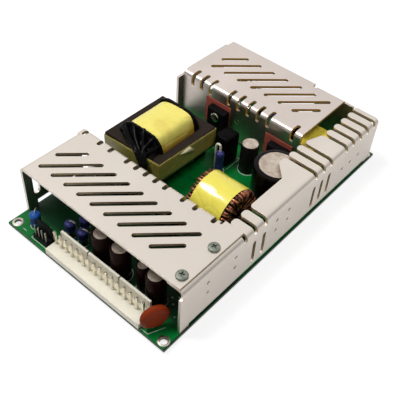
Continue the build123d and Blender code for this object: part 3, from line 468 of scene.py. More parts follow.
def dress(finish, *nodes):
    """Give CAD nodes a finish."""
    for node in nodes:
        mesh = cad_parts[node]
        if not mesh.material_slots:
            mesh.data.materials.append(finish)
        for place in mesh.material_slots:
            place.material = finish


def halves(low, high):
    """Centre and half size of a box."""
    return (low + high) / 2, (high - low) / 2


def heading(degrees):
    """Level direction, counted from X."""
    return Vector((math.cos(math.radians(degrees)), math.sin(math.radians(degrees)), 0))


def pointing(origin, direction, turn=0.0):
    """Matrix that puts local Z along a direction, from an origin."""
    face = Vector(direction).to_track_quat("Z", "Y").to_matrix().to_4x4()
    return Matrix.Translation(origin) @ face @ Matrix.Rotation(turn, 4, "Z")


def sized(centre, size):
    """Matrix that puts a unit cube at a centre with a size."""
    return Matrix.Translation(centre) @ Matrix.Diagonal((*size, 1))


def turned(bm, profile, place, steps=48, index=0, closed=False):
    """Spin a profile of radius and height pairs, in metres, about local Z of a place."""
    points = [bm.verts.new((radius, 0, height)) for radius, height in profile]
    pairs = list(zip(points, points[1:]))
    if closed:
        pairs.append((points[-1], points[0]))
    rims = [bm.edges.new(pair) for pair in pairs]
    before = set(bm.faces)
    bmesh.ops.spin(bm, geom=points + rims, cent=(0, 0, 0), axis=(0, 0, 1), angle=2 * math.pi, steps=steps,
                   use_merge=True)
    new = [face for face in bm.faces if face not in before]
    verts = list({vert for face in new for vert in face.verts})
    bmesh.ops.transform(bm, matrix=place, verts=verts)
    for face in new:
        face.material_index = index
    return new


def pulled(bm, face, move, keep=False):
    """Extrude a face along a move and return the new face; the old one goes unless it is kept."""
    grown = bmesh.ops.extrude_face_region(bm, geom=[face])["geom"]
    if not keep:
        bmesh.ops.delete(bm, geom=[face], context="FACES_ONLY")
    new = next(item for item in grown if isinstance(item, bmesh.types.BMFace))
    bmesh.ops.translate(bm, vec=move, verts=list(new.verts))
    return new


def strands(routes, radius, cyclic=False, order=4, steps=6, sides=2):
    """Mesh of round wires along smooth routes."""
    curve = bpy.data.curves.new("strand", "CURVE")
    curve.dimensions = "3D"
    curve.bevel_depth = radius
    curve.bevel_resolution = sides
    curve.resolution_u = steps
    curve.use_fill_caps = not cyclic
    for route in routes:
        spline = curve.splines.new("NURBS")
        spline.points.add(len(route) - 1)
        for point, place in zip(spline.points, route):
            point.co = (*place, 1.0)
        spline.use_cyclic_u = cyclic
        spline.order_u = order
        spline.use_endpoint_u = not cyclic
    holder = bpy.data.objects.new("strand", curve)
    mesh = bpy.data.meshes.new_from_object(holder)
    bpy.data.objects.remove(holder)
    bpy.data.curves.remove(curve)
    return mesh


def add_mesh(bm, mesh, index=0):
    """Add a mesh to a bmesh and drop it."""
    before = set(bm.faces)
    bm.from_mesh(mesh)
    bpy.data.meshes.remove(mesh)
    for face in bm.faces:
        if face not in before:
            face.material_index = index


# Without a seed of its own Blender takes one for its vector noise from the clock
NOISE_SEED = 1


def ruffle(verts, amount, scale, shift=0.0):
    """Move points a little along a smooth noise that is the same in each run."""
    noise.seed_set(NOISE_SEED)
    for vert in verts:
        vert.co += noise.noise_vector(vert.co * scale + Vector((shift, shift, shift))) * amount


# Board, with its holes, small pads and white lines in millimetres

HOLES = ((3.4, 3.4), (104.55, 3.4), (3.4, 174.4), (104.55, 174.4))
VIA_SEED, VIA_COUNT, VIA_CLEAR = 4, 150, 5
VIA_PROFILE = ((0.00018, 0), (0.00045, 0), (0.00042, 0.00004), (0.00018, 0.00004))
PRINT_LINES = (
    (93.0, 0.4, 93.0, 10.6), (8.4, 2.6, 11.2, 2.6), (97.0, 1.1, 100.4, 8.9), (93.4, 1.1, 97.0, 1.1),
    (54.4, 106.4, 54.4, 118.6), (54.4, 118.6, 45.0, 118.8),
)
PRINT_FRAMES = (
    (16.2, 1.7, 27.6, 8.0), (62.6, 58.6, 91.4, 88.2), (13.2, 168.4, 28.4, 177.2), (12.8, 150.2, 35.4, 157.6),
)
PRINT_CIRCLES = (
    (62.5, 115.7, 5.5), (87.2, 105.5, 13.0), (52.3, 16.4, 5.5), (64.7, 16.4, 5.5), (87.4, 16.4, 5.5), (78.2, 17.3, 3.6),
    (28.8, 16.2, 2.9), (37.3, 16.8, 2.9), (31.7, 23.1, 2.9), (11.8, 8.4, 2.9), (51.7, 103.6, 2.9),
)


class SUPPLY_OT_board(bpy.types.Operator):
    """Finish the board, with hole pads, printed lines and small pads"""
    bl_idname = "supply.board"
    bl_label = "Board"

    def execute(self, context):
        dress(board_finish(), "circuit_board")
        self.pads(sizes().pad_ring / 2)
        self.lines(sizes().print_line / 2, sizes().print_rise)
        return {"FINISHED"}

    def pads(self, outer):
        """Tinned rings and barrels of the corner holes, the barrels darkened as painted shade, and small pads on both
        sides.
        """
        bm = bmesh.new()
        inner, barrel, slope, rise = 0.00185, 0.00195, 0.0001, 0.00006
        thick = board_high.z - board_low.z
        ring = [(inner, rise), (outer - slope, rise), (outer, 0), (barrel, 0), (barrel, -thick), (outer, -thick),
                (outer - slope, -thick - rise), (inner, -thick - rise)]
        for x, y in HOLES:
            for face in turned(bm, ring, pointing(at(x, y), UP), 40, closed=True):
                face.material_index = int((face.calc_center_median() - at(x, y)).xy.length < inner + 0.0002)
        luck = random.Random(VIA_SEED)
        for _ in range(VIA_COUNT):
            x, y = luck.uniform(4, 104), luck.uniform(3, 175)
            if min((Vector((x, y)) - Vector(hole)).length for hole in HOLES) > VIA_CLEAR:
                turned(bm, VIA_PROFILE, pointing(at(x, y), UP), 10, closed=True)
                turned(bm, VIA_PROFILE, pointing(at(x, y) - UP * thick, -UP), 10, closed=True)
        tin = tinned("tinned_pad", 0.8, 1.2, 300.0, (0.35, 0.5))
        # Barrel tin darkened as painted shade inside the holes
        dim = tinned("barrel_tin_painted_shade", 0.2, 0.35, 300.0, (0.4, 0.55))
        finished("hole_pads", bm, [tin, dim])

    def lines(self, half, rise):
        """White outlines of the parts."""
        bm = bmesh.new()
        runs = list(PRINT_LINES)
        for x0, y0, x1, y1 in PRINT_FRAMES:
            runs += [(x0, y0, x1, y0), (x1, y0, x1, y1), (x1, y1, x0, y1), (x0, y1, x0, y0)]
        for x0, y0, x1, y1 in runs:
            a, b = at(x0, y0), at(x1, y1)
            side = UP.cross((b - a).normalized()) * half
            base = bm.faces.new([bm.verts.new(point) for point in (a + side, a - side, b - side, b + side)])
            pulled(bm, base, UP * rise, keep=True)
        for x, y, radius in PRINT_CIRCLES:
            near, far = radius * MM - half, radius * MM + half
            turned(bm, [(near, 0), (far, 0), (far, rise), (near, rise)], pointing(at(x, y), UP), closed=True)
        white = mottled("white_print", tones(palette().print_white, 0.85), 500.0, (0.5, 0.7))
        finished("printed_lines", bm, [white])


class SUPPLY_OT_sheet_metal(bpy.types.Operator):
    """Finish the two heat sinks and the side wall"""
    bl_idname = "supply.sheet_metal"
    bl_label = "Sheet metal"

    def execute(self, context):
        hue = palette()
        # foot and flange: heights below which up-facing faces get the painted highlight
        left, front, foot = board_low.x + 0.0033, board_low.y + 0.0125, board_high.z
        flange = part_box("side_wall")[1].z - 0.002
        # Each sheet's cut tone is partly painted shade and reflected light; the rear sink's golden one is painted
        # reflected light
        for node, *finish in (
                ("front_heat_sink", "front_sink_aluminium", hue.aluminium, "X", left, foot, hue.cut, 0.5),
                ("rear_heat_sink", "rear_sink_aluminium", hue.aluminium_rear, "X", left, foot, hue.cut_painted_gold_light, 0.2),
                ("side_wall", "wall_aluminium", hue.aluminium, "Y", front, flange, hue.cut_wall, 0.3)):
            dress(sheet_finish(*finish), node)
        return {"FINISHED"}


def screw_mesh(shank):
    """Pan head screw with a cross recess, its seat at the origin and its head along +Z."""
    bm = bmesh.new()
    thread, head, high = 0.00148, 0.0029, 0.0012
    profile = [(0, -shank), (0.00135, -shank), (thread, -shank + 0.0002), (thread, 0), (head - 0.0001, 0),
               (head, 0.0001), (head, 0.0005), (0.95 * head, 0.0008), (0.82 * head, 0.00102), (0.55 * head, 0.00114),
               (0.25 * head, high), (0, high)]
    turned(bm, profile, Matrix.Identity(4), 40)
    bmesh.ops.remove_doubles(bm, verts=bm.verts, dist=MERGE)
    bmesh.ops.recalc_face_normals(bm, faces=bm.faces)
    body = placed("screw_body", settled("screw_body", bm))
    bm = bmesh.new()
    arm, reach, deep, taper = 0.00048, 0.0017, 0.0009, 0.55
    bmesh.ops.create_cube(bm, size=1.0, matrix=sized((0, 0, high), (2 * arm, 2 * arm, 2 * deep)))
    for face in [face for face in bm.faces if abs(face.normal.z) < 0.5]:
        pulled(bm, face, face.normal * (reach - arm))
    for vert in bm.verts:
        if vert.co.z < high - deep / 2:
            vert.co.x *= taper
            vert.co.y *= taper
    bmesh.ops.recalc_face_normals(bm, faces=bm.faces)
    bit = placed("screw_bit", settled("screw_bit", bm))
    cut = body.modifiers.new("recess", "BOOLEAN")
    cut.operation = "DIFFERENCE"
    cut.solver = "EXACT"
    cut.object = bit
    bpy.context.view_layer.update()
    made = bpy.data.meshes.new_from_object(body.evaluated_get(bpy.context.evaluated_depsgraph_get()))
    for item in (body, bit):
        mesh = item.data
        bpy.data.objects.remove(item)
        bpy.data.meshes.remove(mesh)
    return made


class SUPPLY_OT_screws(bpy.types.Operator):
    """Cross recess screws of the plate, the packages and the bridge"""
    bl_idname = "supply.screws"
    bl_label = "Screws"

    def execute(self, context):
        zinc = mottled("zinc_plate", tones(palette().zinc, 0.55, 1.15), 700.0, (0.4, 0.6), 1.0)
        nickel = tinned("bright_plate", 0.9, 1.2, 420.0, (0.16, 0.3))
        plate = at(101.1, 17.8, 30.2)
        for name, finish, node, shank, places in (
                ("plate_screw_heads", zinc, "plate_screws", 0.006, (
                    (plate, UP, 0.5), (plate + BACK * 0.0209, UP, 1.1))),
                ("package_screw_heads", nickel, "package_screws", 0.0064, (
                    (at(31.4, 122.9, 15.1), -BACK, 0.3), (at(74.4, 122.9, 13.1), -BACK, 0.9),
                    (at(30.0, 48.0, 14.4), -BACK, 0.2), (at(62.0, 48.0, 14.4), -BACK, 0.6))),
                ("bridge_screw_head", nickel, "bridge_screw", 0.0051, ((at(43.5, 132.9, 16.0), BACK, 0.4),))):
            bm = bmesh.new()
            for origin, direction, turn in places:
                mesh = screw_mesh(shank)
                mesh.transform(pointing(origin, direction, turn))
                add_mesh(bm, mesh)
            finished(name, bm, [finish], [node], 30.0)
        return {"FINISHED"}


class SUPPLY_OT_headers(bpy.types.Operator):
    """Finish the headers and their contacts"""
    bl_idname = "supply.headers"
    bl_label = "Headers"

    def execute(self, context):
        hue = palette()
        nylon = {"scale": 90.0, "rough": (0.42, 0.55), "grain": 1200.0, "edge": 0.0003, "specular": 0.3}
        dress(mottled("ivory_nylon", tones(hue.ivory, 0.9), **nylon), "input_header")
        # Ivory with painted shade in and beside the two slits of the lock
        dress(mottled("ivory_nylon_painted_slit_shade", tones(hue.ivory, 0.92), painted_shade_mark=self.slits, **nylon), "output_header")
        dress(mottled("black_nylon", tones(hue.black, 0.4, 0.75), 200.0, (0.4, 0.55), worn=shade(hue.black, 1.6),
                      specular=0.08), "control_header")
        dress(mottled("tinned_contact", tones(hue.brass, 0.72), 500.0, (0.18, 0.3), 1.0, edge=0.0002),
              "output_header_pins", "input_header_pins")
        dress(tinned("dim_contact", 0.4, 0.7, rough=(0.3, 0.45), edge=0.0002), "control_header_pins")
        return {"FINISHED"}

    @staticmethod
    def slits(tree, place, tone):
        """Darken the ivory in and beside the two slits of the lock: painted shade of the narrow gaps."""
        low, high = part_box("output_header")
        x, y, z = axes(tree, place)
        lock = times(tree, between(tree, y, high.y - 0.0022, high.y - 0.0021),
                     between(tree, z, high.z - 0.0036, high.z - 0.0022))
        for share in (1 / 3, 2 / 3):
            away = calc(tree, "ABSOLUTE", calc(tree, "SUBTRACT", x, low.x + (high.x - low.x) * share))
            painted_slit_shade = times(tree, lock, between(tree, away, 0.00042, 0.0003))
            tone = mix(tree, painted_slit_shade, tone, shade(palette().ivory, 0.06))
        return tone


# Transformer, in millimetres: section of the winding as x and z, and shares of its depth
WINDING_SECTION = (
    (10.4, 22.0), (10.6, 26.6), (12.4, 29.4), (16.5, 31.1), (21.5, 31.7), (27.0, 31.9), (31.4, 31.9), (33.6, 31.0),
    (35.0, 28.6), (36.2, 25.0), (36.6, 22.0), (36.3, 10.0), (35.0, 4.6), (31.0, 1.9), (23.3, 1.4), (15.6, 1.9),
    (11.6, 4.6), (10.3, 10.0),
)
WINDING_STEPS = (0.03, 0.12, 0.16, 0.16, 0.16, 0.16, 0.18, 0.03)
# Lower and upper edge of the core tape at its corners, and its lifted end
TAPE_LOWS, TAPE_HIGHS = (9.8, 12.4, 10.4, 10.0), (21.2, 24.9, 22.7, 22.2)
TAPE_FLAP = ((43.9, 78.6, 22.5), (44.9, 90.2, 19.6), (43.5, 86.4, 23.6))
# Black wrap: shares of width and height across it, its rows as y, left, right and height, its rim and its foot
WRAP_ARCH = (
    (0.0, 0.0), (0.06, 0.45), (0.16, 0.74), (0.3, 0.92), (0.45, 1.0), (0.6, 1.0), (0.75, 0.96), (0.86, 0.86),
    (0.95, 0.6), (1.0, 0.0),
)
WRAP_ROWS = (
    (73.6, 7.4, 36.6, 30.4), (72.4, 6.8, 36.9, 30.4), (71.0, 7.4, 36.9, 29.4), (69.6, 10.0, 36.8, 27.6),
    (68.2, 13.4, 36.8, 26.5), (66.8, 17.0, 37.0, 25.3), (65.4, 20.5, 37.4, 24.5), (64.6, 23.0, 37.6, 23.8),
)
WRAP_RIM, WRAP_FOOT = 23.2, 22.8
LEAD_ROUTES = (
    ((9.6, 72.8, 26.0), (11.4, 70.6, 25.8), (17.0, 67.2, 25.4), (25.5, 63.9, 25.4), (33.6, 60.4, 22.6),
     (37.4, 59.3, 16.0), (33.4, 61.6, 0.0)),
    ((11.5, 72.9, 29.0), (13.6, 70.2, 27.8), (19.6, 67.0, 26.6), (27.6, 63.9, 25.8), (34.8, 60.6, 22.0),
     (36.6, 59.6, 14.0), (29.8, 62.0, 0.0)),
    ((17.0, 73.1, 31.0), (19.5, 70.2, 29.6), (24.0, 67.0, 27.2), (30.5, 63.8, 25.6), (36.4, 60.4, 21.4),
     (36.0, 60.2, 12.0), (26.2, 62.0, 0.0)),
    ((24.0, 73.1, 31.6), (26.2, 70.2, 30.0), (29.0, 67.0, 27.4), (33.4, 63.4, 25.4), (38.0, 60.2, 21.0),
     (36.0, 61.0, 11.0), (33.4, 62.4, 0.0)),
    ((31.6, 73.0, 30.4), (31.4, 70.0, 29.2), (30.6, 67.0, 27.2), (31.4, 64.0, 26.2), (35.6, 60.0, 23.2),
     (37.6, 59.0, 14.0), (22.6, 62.0, 0.0)),
    ((35.2, 73.0, 27.4), (35.4, 70.0, 26.8), (34.0, 67.0, 25.8), (33.0, 63.8, 25.4), (36.6, 60.2, 22.0),
     (38.0, 60.0, 12.0), (29.8, 62.2, 0.0)),
)


class SUPPLY_OT_transformer(bpy.types.Operator):
    """Taped winding, taped core and sleeved leads of the transformer"""
    bl_idname = "supply.transformer"
    bl_label = "Transformer"

    def execute(self, context):
        hue = palette()
        dress(mottled("ferrite", tones(hue.ferrite, 0.75), 120.0, (0.5, 0.7), grain=2200.0, edge=0.0004,
                      worn=shade(hue.ferrite, 1.5), specular=0.08), "transformer_core_front", "transformer_core_rear")
        dress(mottled("bobbin", tones(hue.black, 0.3, 0.5), 200.0, (0.35, 0.5), specular=0.06), "transformer_bobbin")
        dress(tinned("tinned_wire"), "transformer_pins")
        sink = level(27.0), level(21.5)
        self.winding(film_finish("winding_film", (hue.film, hue.film_deep), 38.0, 0.5, 0.25, sink))
        olive = film_finish("core_film", (hue.film_olive, shade(hue.film_olive, 0.75)), 40.0, 0.25, 0.3)
        self.core_tape(olive, film_finish("lifted_film_highlight", LIFTED_HIGHLIGHT_TONES, 60.0, 0.2, 0.2))
        self.leads(mottled("black_sleeve", WRAP_TONES, 140.0, (0.1, 0.16), specular=0.06), sizes().sleeve_wire / 2)
        return {"FINISHED"}

    def winding(self, film):
        """Boxy taped winding, its surface a little uneven."""
        low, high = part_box("transformer_winding")
        bm = bmesh.new()
        face = bm.faces.new([bm.verts.new((at(x, 0).x, low.y, level(z))) for x, z in WINDING_SECTION])
        for share in WINDING_STEPS:
            face = pulled(bm, face, BACK * (high.y - low.y) * share)
        bm.faces.new([vert for vert in bm.verts if abs(vert.co.y - low.y) < 0.00001][:len(WINDING_SECTION)])
        ruffle(bm.verts, 0.00035, 150.0, 3.0)
        made = finished("taped_winding", bm, [film], ["transformer_winding"], 60.0)
        soft = made.modifiers.new("softness", "SUBSURF")
        soft.levels = soft.render_levels = 2

    def core_tape(self, olive, lifted):
        """Tape round the core, a little slanted, with its end lifted on the right side and paler there as a painted
        highlight.
        """
        low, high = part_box("transformer_core_tape")
        bm = bmesh.new()
        corners = [(low.x, low.y), (high.x, low.y), (high.x, high.y), (low.x, high.y)]
        bottom, top = ([bm.verts.new((x, y, level(z))) for (x, y), z in zip(corners, rim)]
                       for rim in (TAPE_LOWS, TAPE_HIGHS))
        for i in range(4):
            j = (i + 1) % 4
            bm.faces.new((bottom[i], bottom[j], top[j], top[i]))
        bmesh.ops.subdivide_edges(bm, edges=list(bm.edges), cuts=7, use_grid_fill=True)
        bmesh.ops.recalc_face_normals(bm, faces=bm.faces)
        ruffle(bm.verts, 0.00012, 150.0, 8.0)
        # Lifted end, in the paler film of the painted highlight
        flap = bm.faces.new([bm.verts.new(at(*point)) for point in TAPE_FLAP])
        flap.material_index = 1
        tape = finished("core_tape", bm, [olive, lifted], ["transformer_core_tape"], 50.0)
        thick = tape.modifiers.new("thickness", "SOLIDIFY")
        thick.thickness = 0.0002
        thick.offset = 0

    def leads(self, sleeve, radius):
        """Black wrap at the front end of the winding, and the sleeved leads that cross it on their way down."""
        bm = bmesh.new()
        rows = [[bm.verts.new(at(left + (right - left) * share, y, WRAP_RIM + (high - WRAP_RIM) * up))
                 for share, up in WRAP_ARCH] for y, left, right, high in WRAP_ROWS]
        for near, far in zip(rows, rows[1:]):
            for i in range(len(near) - 1):
                bm.faces.new((near[i], near[i + 1], far[i + 1], far[i]))
        for item in bmesh.ops.extrude_face_region(bm, geom=list(bm.faces))["geom"]:
            if isinstance(item, bmesh.types.BMVert):
                item.co.z = level(WRAP_FOOT)
        bmesh.ops.subdivide_edges(bm, edges=list(bm.edges), cuts=2, use_grid_fill=True)
        bmesh.ops.smooth_vert(bm, verts=list(bm.verts), factor=0.5, use_axis_x=True, use_axis_y=True, use_axis_z=True)
        ruffle(bm.verts, 0.0011, 330.0, 2.0)
        routes = [[at(*point) for point in route] for route in LEAD_ROUTES]
        add_mesh(bm, strands(routes, radius, order=4, steps=8, sides=4))
        finished("sleeved_leads", bm, [sleeve], ["transformer_leads"], 60.0)


def ring_turns(centre, axis_half, outer, inner, wire, turns, seed):
    """Routes of the turns on a ring whose axis is along X: each one goes round the ring's section."""
    luck = random.Random(seed)
    routes = []
    for turn in range(turns):
        angle = 2 * math.pi * (turn + luck.uniform(-0.18, 0.18)) / turns
        lean = luck.uniform(-0.05, 0.05)
        layer = turn % 3
        near = inner + wire * (0.5 + layer * 1.05)
        far = outer - wire * (0.62 + 0.2 * luck.random())
        side = axis_half - wire * (0.1 + 0.4 * layer) - luck.uniform(0, 0.0004)
        half = [(0.5, far), (0.88, far * 1.03), (1.04, far * 1.01), (1.05, far * 0.86), (1.0, (near + far) / 2),
                (1.0, near * 1.12), (0.92, near)]
        route = []
        for share, radius in [(-0.5, far), *half, *((-share, radius) for share, radius in reversed(half[1:]))]:
            x = side * share
            spin = angle + lean * x / axis_half
            route.append(centre + Vector((x, radius * math.sin(spin), radius * math.cos(spin))))
        routes.append(route)
    return routes


class SUPPLY_OT_chokes(bpy.types.Operator):
    """Wound rings with their turns, cores, band and leads"""
    bl_idname = "supply.chokes"
    bl_label = "Chokes"

    def execute(self, context):
        hue, size = palette(), sizes()
        copper = copper_finish()
        dress(mottled("ring_core", RING_TONES, 120.0, (0.5, 0.7)), "choke_core", "line_choke_core")
        dress(copper, "choke_leads")
        for name, node, wire, turns, inner, seed in (
                ("choke_turns", "choke_winding", size.choke_wire, size.choke_turns, 0.004, 5),
                ("line_choke_turns", "line_choke_winding", size.line_wire, size.line_turns, 0.003, 9)):
            centre, half = halves(*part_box(node))
            bm = bmesh.new()
            routes = ring_turns(centre, half.x, half.z, inner, wire, turns, seed)
            add_mesh(bm, strands(routes, wire / 2, cyclic=True, order=3, steps=2, sides=1))
            finished(name, bm, [copper], [node], 60.0)
        self.band(film_finish("band_film", (hue.band, shade(hue.band, 0.88)), 30.0, 0.4, 0.5))
        return {"FINISHED"}

    def band(self, film):
        """Crinkled tape round the choke."""
        centre, half = halves(*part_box("choke_band"))
        bm = bmesh.new()
        wall, steps, crinkle = 0.00022, 12, 0.00035
        across = [half.x * (2 * i / steps - 1) for i in range(steps + 1)]
        profile = [(half.z, x) for x in across] + [(half.z - wall, x) for x in reversed(across)]
        turned(bm, profile, pointing(centre, (1, 0, 0)), 96, closed=True)
        for vert in bm.verts:
            out = Vector((0, vert.co.y - centre.y, vert.co.z - centre.z)).normalized()
            vert.co += out * crinkle * (noise.noise(vert.co * 190.0) - 0.2)
        finished("choke_band_tape", bm, [film], ["choke_band"], 50.0)


class SUPPLY_OT_cans(bpy.types.Operator):
    """Sleeved electrolytic cans with scored ends"""
    bl_idname = "supply.cans"
    bl_label = "Cans"

    def execute(self, context):
        hue = palette()
        dark = mottled("can_sleeve", tones(hue.sleeve, 0.15, 0.4), 160.0, (0.1, 0.16), grain=500.0, specular=0.1)
        striped = mottled("striped_can_sleeve", (shade(hue.sleeve, 0.3), STRIPE_TONE), 420.0, (0.16, 0.24),
                          stretch=(1.0, 1.0, 0.06), specular=0.08)
        brown = mottled("brown_can_sleeve", tones(hue.sleeve_brown, 0.3, 0.7), 160.0, (0.1, 0.16), grain=500.0,
                        specular=0.03)
        ends = [can_end_finish(), mottled("rubber_bung", BUNG_TONES, 300.0, (0.7, 0.85))]
        for node, sleeve, lip_share, turn in (
                ("bulk_capacitor", dark, 0.77, 0.3), ("supply_capacitor", striped, 0.88, 1.2),
                ("output_capacitor_1", brown, 0.78, 0.2), ("output_capacitor_2", brown, 0.78, 0.9),
                ("output_capacitor_3", brown, 0.78, 0.5), ("output_capacitor_small", brown, 0.78, 0.1)):
            low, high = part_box(node)
            centre, half = halves(low, high)
            place = pointing(Vector((centre.x, centre.y, low.z)), UP, turn)
            bm = self.can(place, half.x, high.z - low.z, half.x * lip_share)
            finished(node + "_can", bm, [sleeve, *ends], [node], 40.0)
        return {"FINISHED"}

    def can(self, place, radius, tall, lip):
        """Sleeve with a dent near its foot and a folded rim, the bare end with its map, and the bung."""
        fold, dent = (radius - lip) * 0.55, radius * 0.05
        bm = bmesh.new()
        ends = bm.loops.layers.uv.new("end")
        sleeve = [(radius * 0.80, 0.0002), (radius * 0.9, 0), (radius - dent, 0.0001), (radius, 0.0006),
                  (radius, radius * 0.26), (radius - dent, radius * 0.36), (radius, radius * 0.46),
                  (radius, tall - fold), (radius - fold * 0.3, tall - fold * 0.3), (radius - fold, tall),
                  (lip + 0.0001, tall - 0.00005), (lip, tall - 0.0002)]
        bare = [(lip + 0.0001, tall - 0.00022), (lip * 0.97, tall - 0.0004), (lip * 0.5, tall - 0.00038),
                (0, tall - 0.00036)]
        turned(bm, sleeve, place, 64)
        turned(bm, bare, place, 64, 1)
        turned(bm, [(radius * 0.81, 0.0003), (0, 0.0003)], place, 32, 2)
        flip = place.inverted()
        for face in bm.faces:
            for loop in face.loops:
                spot = flip @ loop.vert.co
                loop[ends].uv = (spot.x / lip, spot.y / lip)
        return bm


class SUPPLY_OT_discs(bpy.types.Operator):
    """Dipped discs: the disc capacitor, the thermistor and the line capacitors"""
    bl_idname = "supply.discs"
    bl_label = "Discs"

    def execute(self, context):
        brown = mottled("brown_dip", tones(palette().disc, 0.62), 110.0, (0.45, 0.6), grain=700.0, depth=0.00006,
                        specular=0.1)
        dark = mottled("dark_dip", THERMISTOR_TONES, 200.0, (0.4, 0.6), grain=600.0)
        blue = mottled("blue_dip", LINE_DISC_TONES, 200.0, (0.35, 0.5), grain=600.0)
        dress(tinned("disc_lead_tin"), "disc_leads")
        for name, finish, node, slot, turn, centres, radius, half, lead in (
                ("disc_dip", brown, "disc_capacitor", "brown_disc", 65.0, [at(97.0, 5.6, 8.9)], 0.007, 0.0017, 3.75),
                ("thermistor_dip", dark, "inrush_thermistor", "dark_disc", 90.0,
                 [at(40.0, 159.8, 6.9)], 0.0055, 0.002, 3.3),
                ("line_capacitor_dips", blue, "y_capacitors", "blue_disc", 0.0,
                 [at(52.0, 164.8, 5.65), at(52.0, 156.8, 5.65)], 0.00425, 0.0017, 2.55)):
            bm = bmesh.new()
            for centre in centres:
                self.disc(bm, centre, turn, radius, half, lead * MM)
            ruffle(bm.verts, 0.0001, 220.0)
            finished(name, bm, [finish], [node], 70.0)
        return {"FINISHED"}

    def disc(self, bm, centre, turn, radius, half, lead):
        """Rounded disc with the coating run down on its two leads."""
        profile = [(0, half * 0.86), (radius * 0.45, half * 0.9), (radius * 0.7, half), (radius * 0.86, half * 0.92),
                   (radius * 0.95, half * 0.66), (radius * 0.99, half * 0.33), (radius, 0)]
        profile += [(r, -h) for r, h in reversed(profile[:-1])]
        turned(bm, profile, pointing(centre, heading(turn + 90)), 56)
        bmesh.ops.remove_doubles(bm, verts=bm.verts, dist=MERGE)
        drop = math.sqrt(radius ** 2 - lead ** 2) - 0.0006
        for side in (-lead, lead):
            root = centre + heading(turn) * side - UP * drop
            turned(bm, [(0.0011, 0), (0.0008, 0.0009), (0.00042, 0.0017), (0.0, 0.0018)], pointing(root, -UP), 16)


# Turn of the loop in degrees, width of the body, and in millimetres its growth, its stub and the loop's reach and rise
CORNER_RESISTOR, SMALL_RESISTOR = (127.0, 1.2, 0.0, 0.6, 3.4, 0.35), (20.0, 1.15, 0.0, 2.6, 3.4, 1.0)
TALL_RESISTOR = (180.0, 1.0, 2.0, 0.6, 3.1, 4.6)


class SUPPLY_OT_resistors(bpy.types.Operator):
    """Standing resistors with swollen ends, faint rings and looped leads"""
    bl_idname = "supply.resistors"
    bl_label = "Resistors"

    def execute(self, context):
        hue = palette()
        blue = mottled("blue_lacquer", tones(hue.lacquer, 0.75), 260.0, (0.3, 0.45), grain=700.0, specular=0.3)
        bright = mottled("bright_blue_lacquer", tones(hue.lacquer_bright, 0.75), 260.0, (0.3, 0.45), specular=0.3)
        ring = mottled("ring_dark", tones(hue.lacquer, 0.35, 0.5), 400.0, (0.3, 0.45), specular=0.3)
        tube = mottled("white_tube", tones(hue.ivory, 0.8), 300.0, (0.4, 0.55))
        loops = []
        for i, (turn, wide, grow, stub, reach, rise) in enumerate(
                (CORNER_RESISTOR, SMALL_RESISTOR, SMALL_RESISTOR, SMALL_RESISTOR, TALL_RESISTOR), start=1):
            node = f"standing_resistor_{i}"
            low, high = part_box(node)
            centre, half = halves(low, high)
            foot, tall = Vector((centre.x, centre.y, low.z)), high.z - low.z + grow * MM
            bm = self.body(pointing(foot, UP), half.x * wide, tall, stub * MM)
            finished(node + "_body", bm, [bright if i == 1 else blue, ring], [node], 60.0)
            loops.append(self.loop(foot, tall, heading(turn) * reach * MM, rise * MM))
        bm = bmesh.new()
        add_mesh(bm, strands(loops[:4], 0.00035, order=3, steps=6, sides=3))
        add_mesh(bm, strands(loops[4:], 0.00065, order=3, steps=8, sides=4), 1)
        tin = tinned("resistor_lead_tin", 0.8, 1.1, rough=(0.22, 0.36))
        finished("resistor_loops", bm, [tin, tube], ["resistor_leads"], 60.0)
        return {"FINISHED"}

    def body(self, place, radius, tall, stub):
        """Body on a stub of lead, with swollen ends and faint rings."""
        waist, cap = radius * 0.96, (tall - stub) * 0.26
        bm = bmesh.new()
        turned(bm, [(0, 0), (0.0004, 0), (0.00045, stub - 0.0003), (radius * 0.5, stub + 0.0002),
                    (radius * 0.85, stub + 0.0006), (radius, stub + 0.0012), (radius, stub + cap - 0.0003),
                    (waist, stub + cap), (waist, tall - cap), (radius, tall - cap + 0.0003), (radius, tall - 0.0012),
                    (radius * 0.85, tall - 0.0006), (radius * 0.5, tall - 0.0002), (0.0004, tall)], place, 36)
        proud = waist + 0.00004
        for share in (0.38, 0.46, 0.54, 0.64):
            z = stub + (tall - stub) * share
            rib = [(waist, z - 0.0003), (proud, z - 0.00025), (proud, z + 0.00025), (waist, z + 0.0003)]
            turned(bm, rib, place, 36, 1)
        return bm

    def loop(self, foot, tall, side, rise):
        """Route of the lead from the body's top, over and down to the board."""
        top = foot + UP * (tall - 0.0002)
        crown = top + UP * (rise + 0.0002)
        leg = Vector((foot.x, foot.y, board_high.z)) + side
        fall = crown + side - UP * rise * 0.35
        return [top, top.lerp(crown, 0.55), crown + side * 0.12, crown + side * 0.62, fall, leg.lerp(fall, 0.65),
                leg.lerp(fall, 0.3), leg]


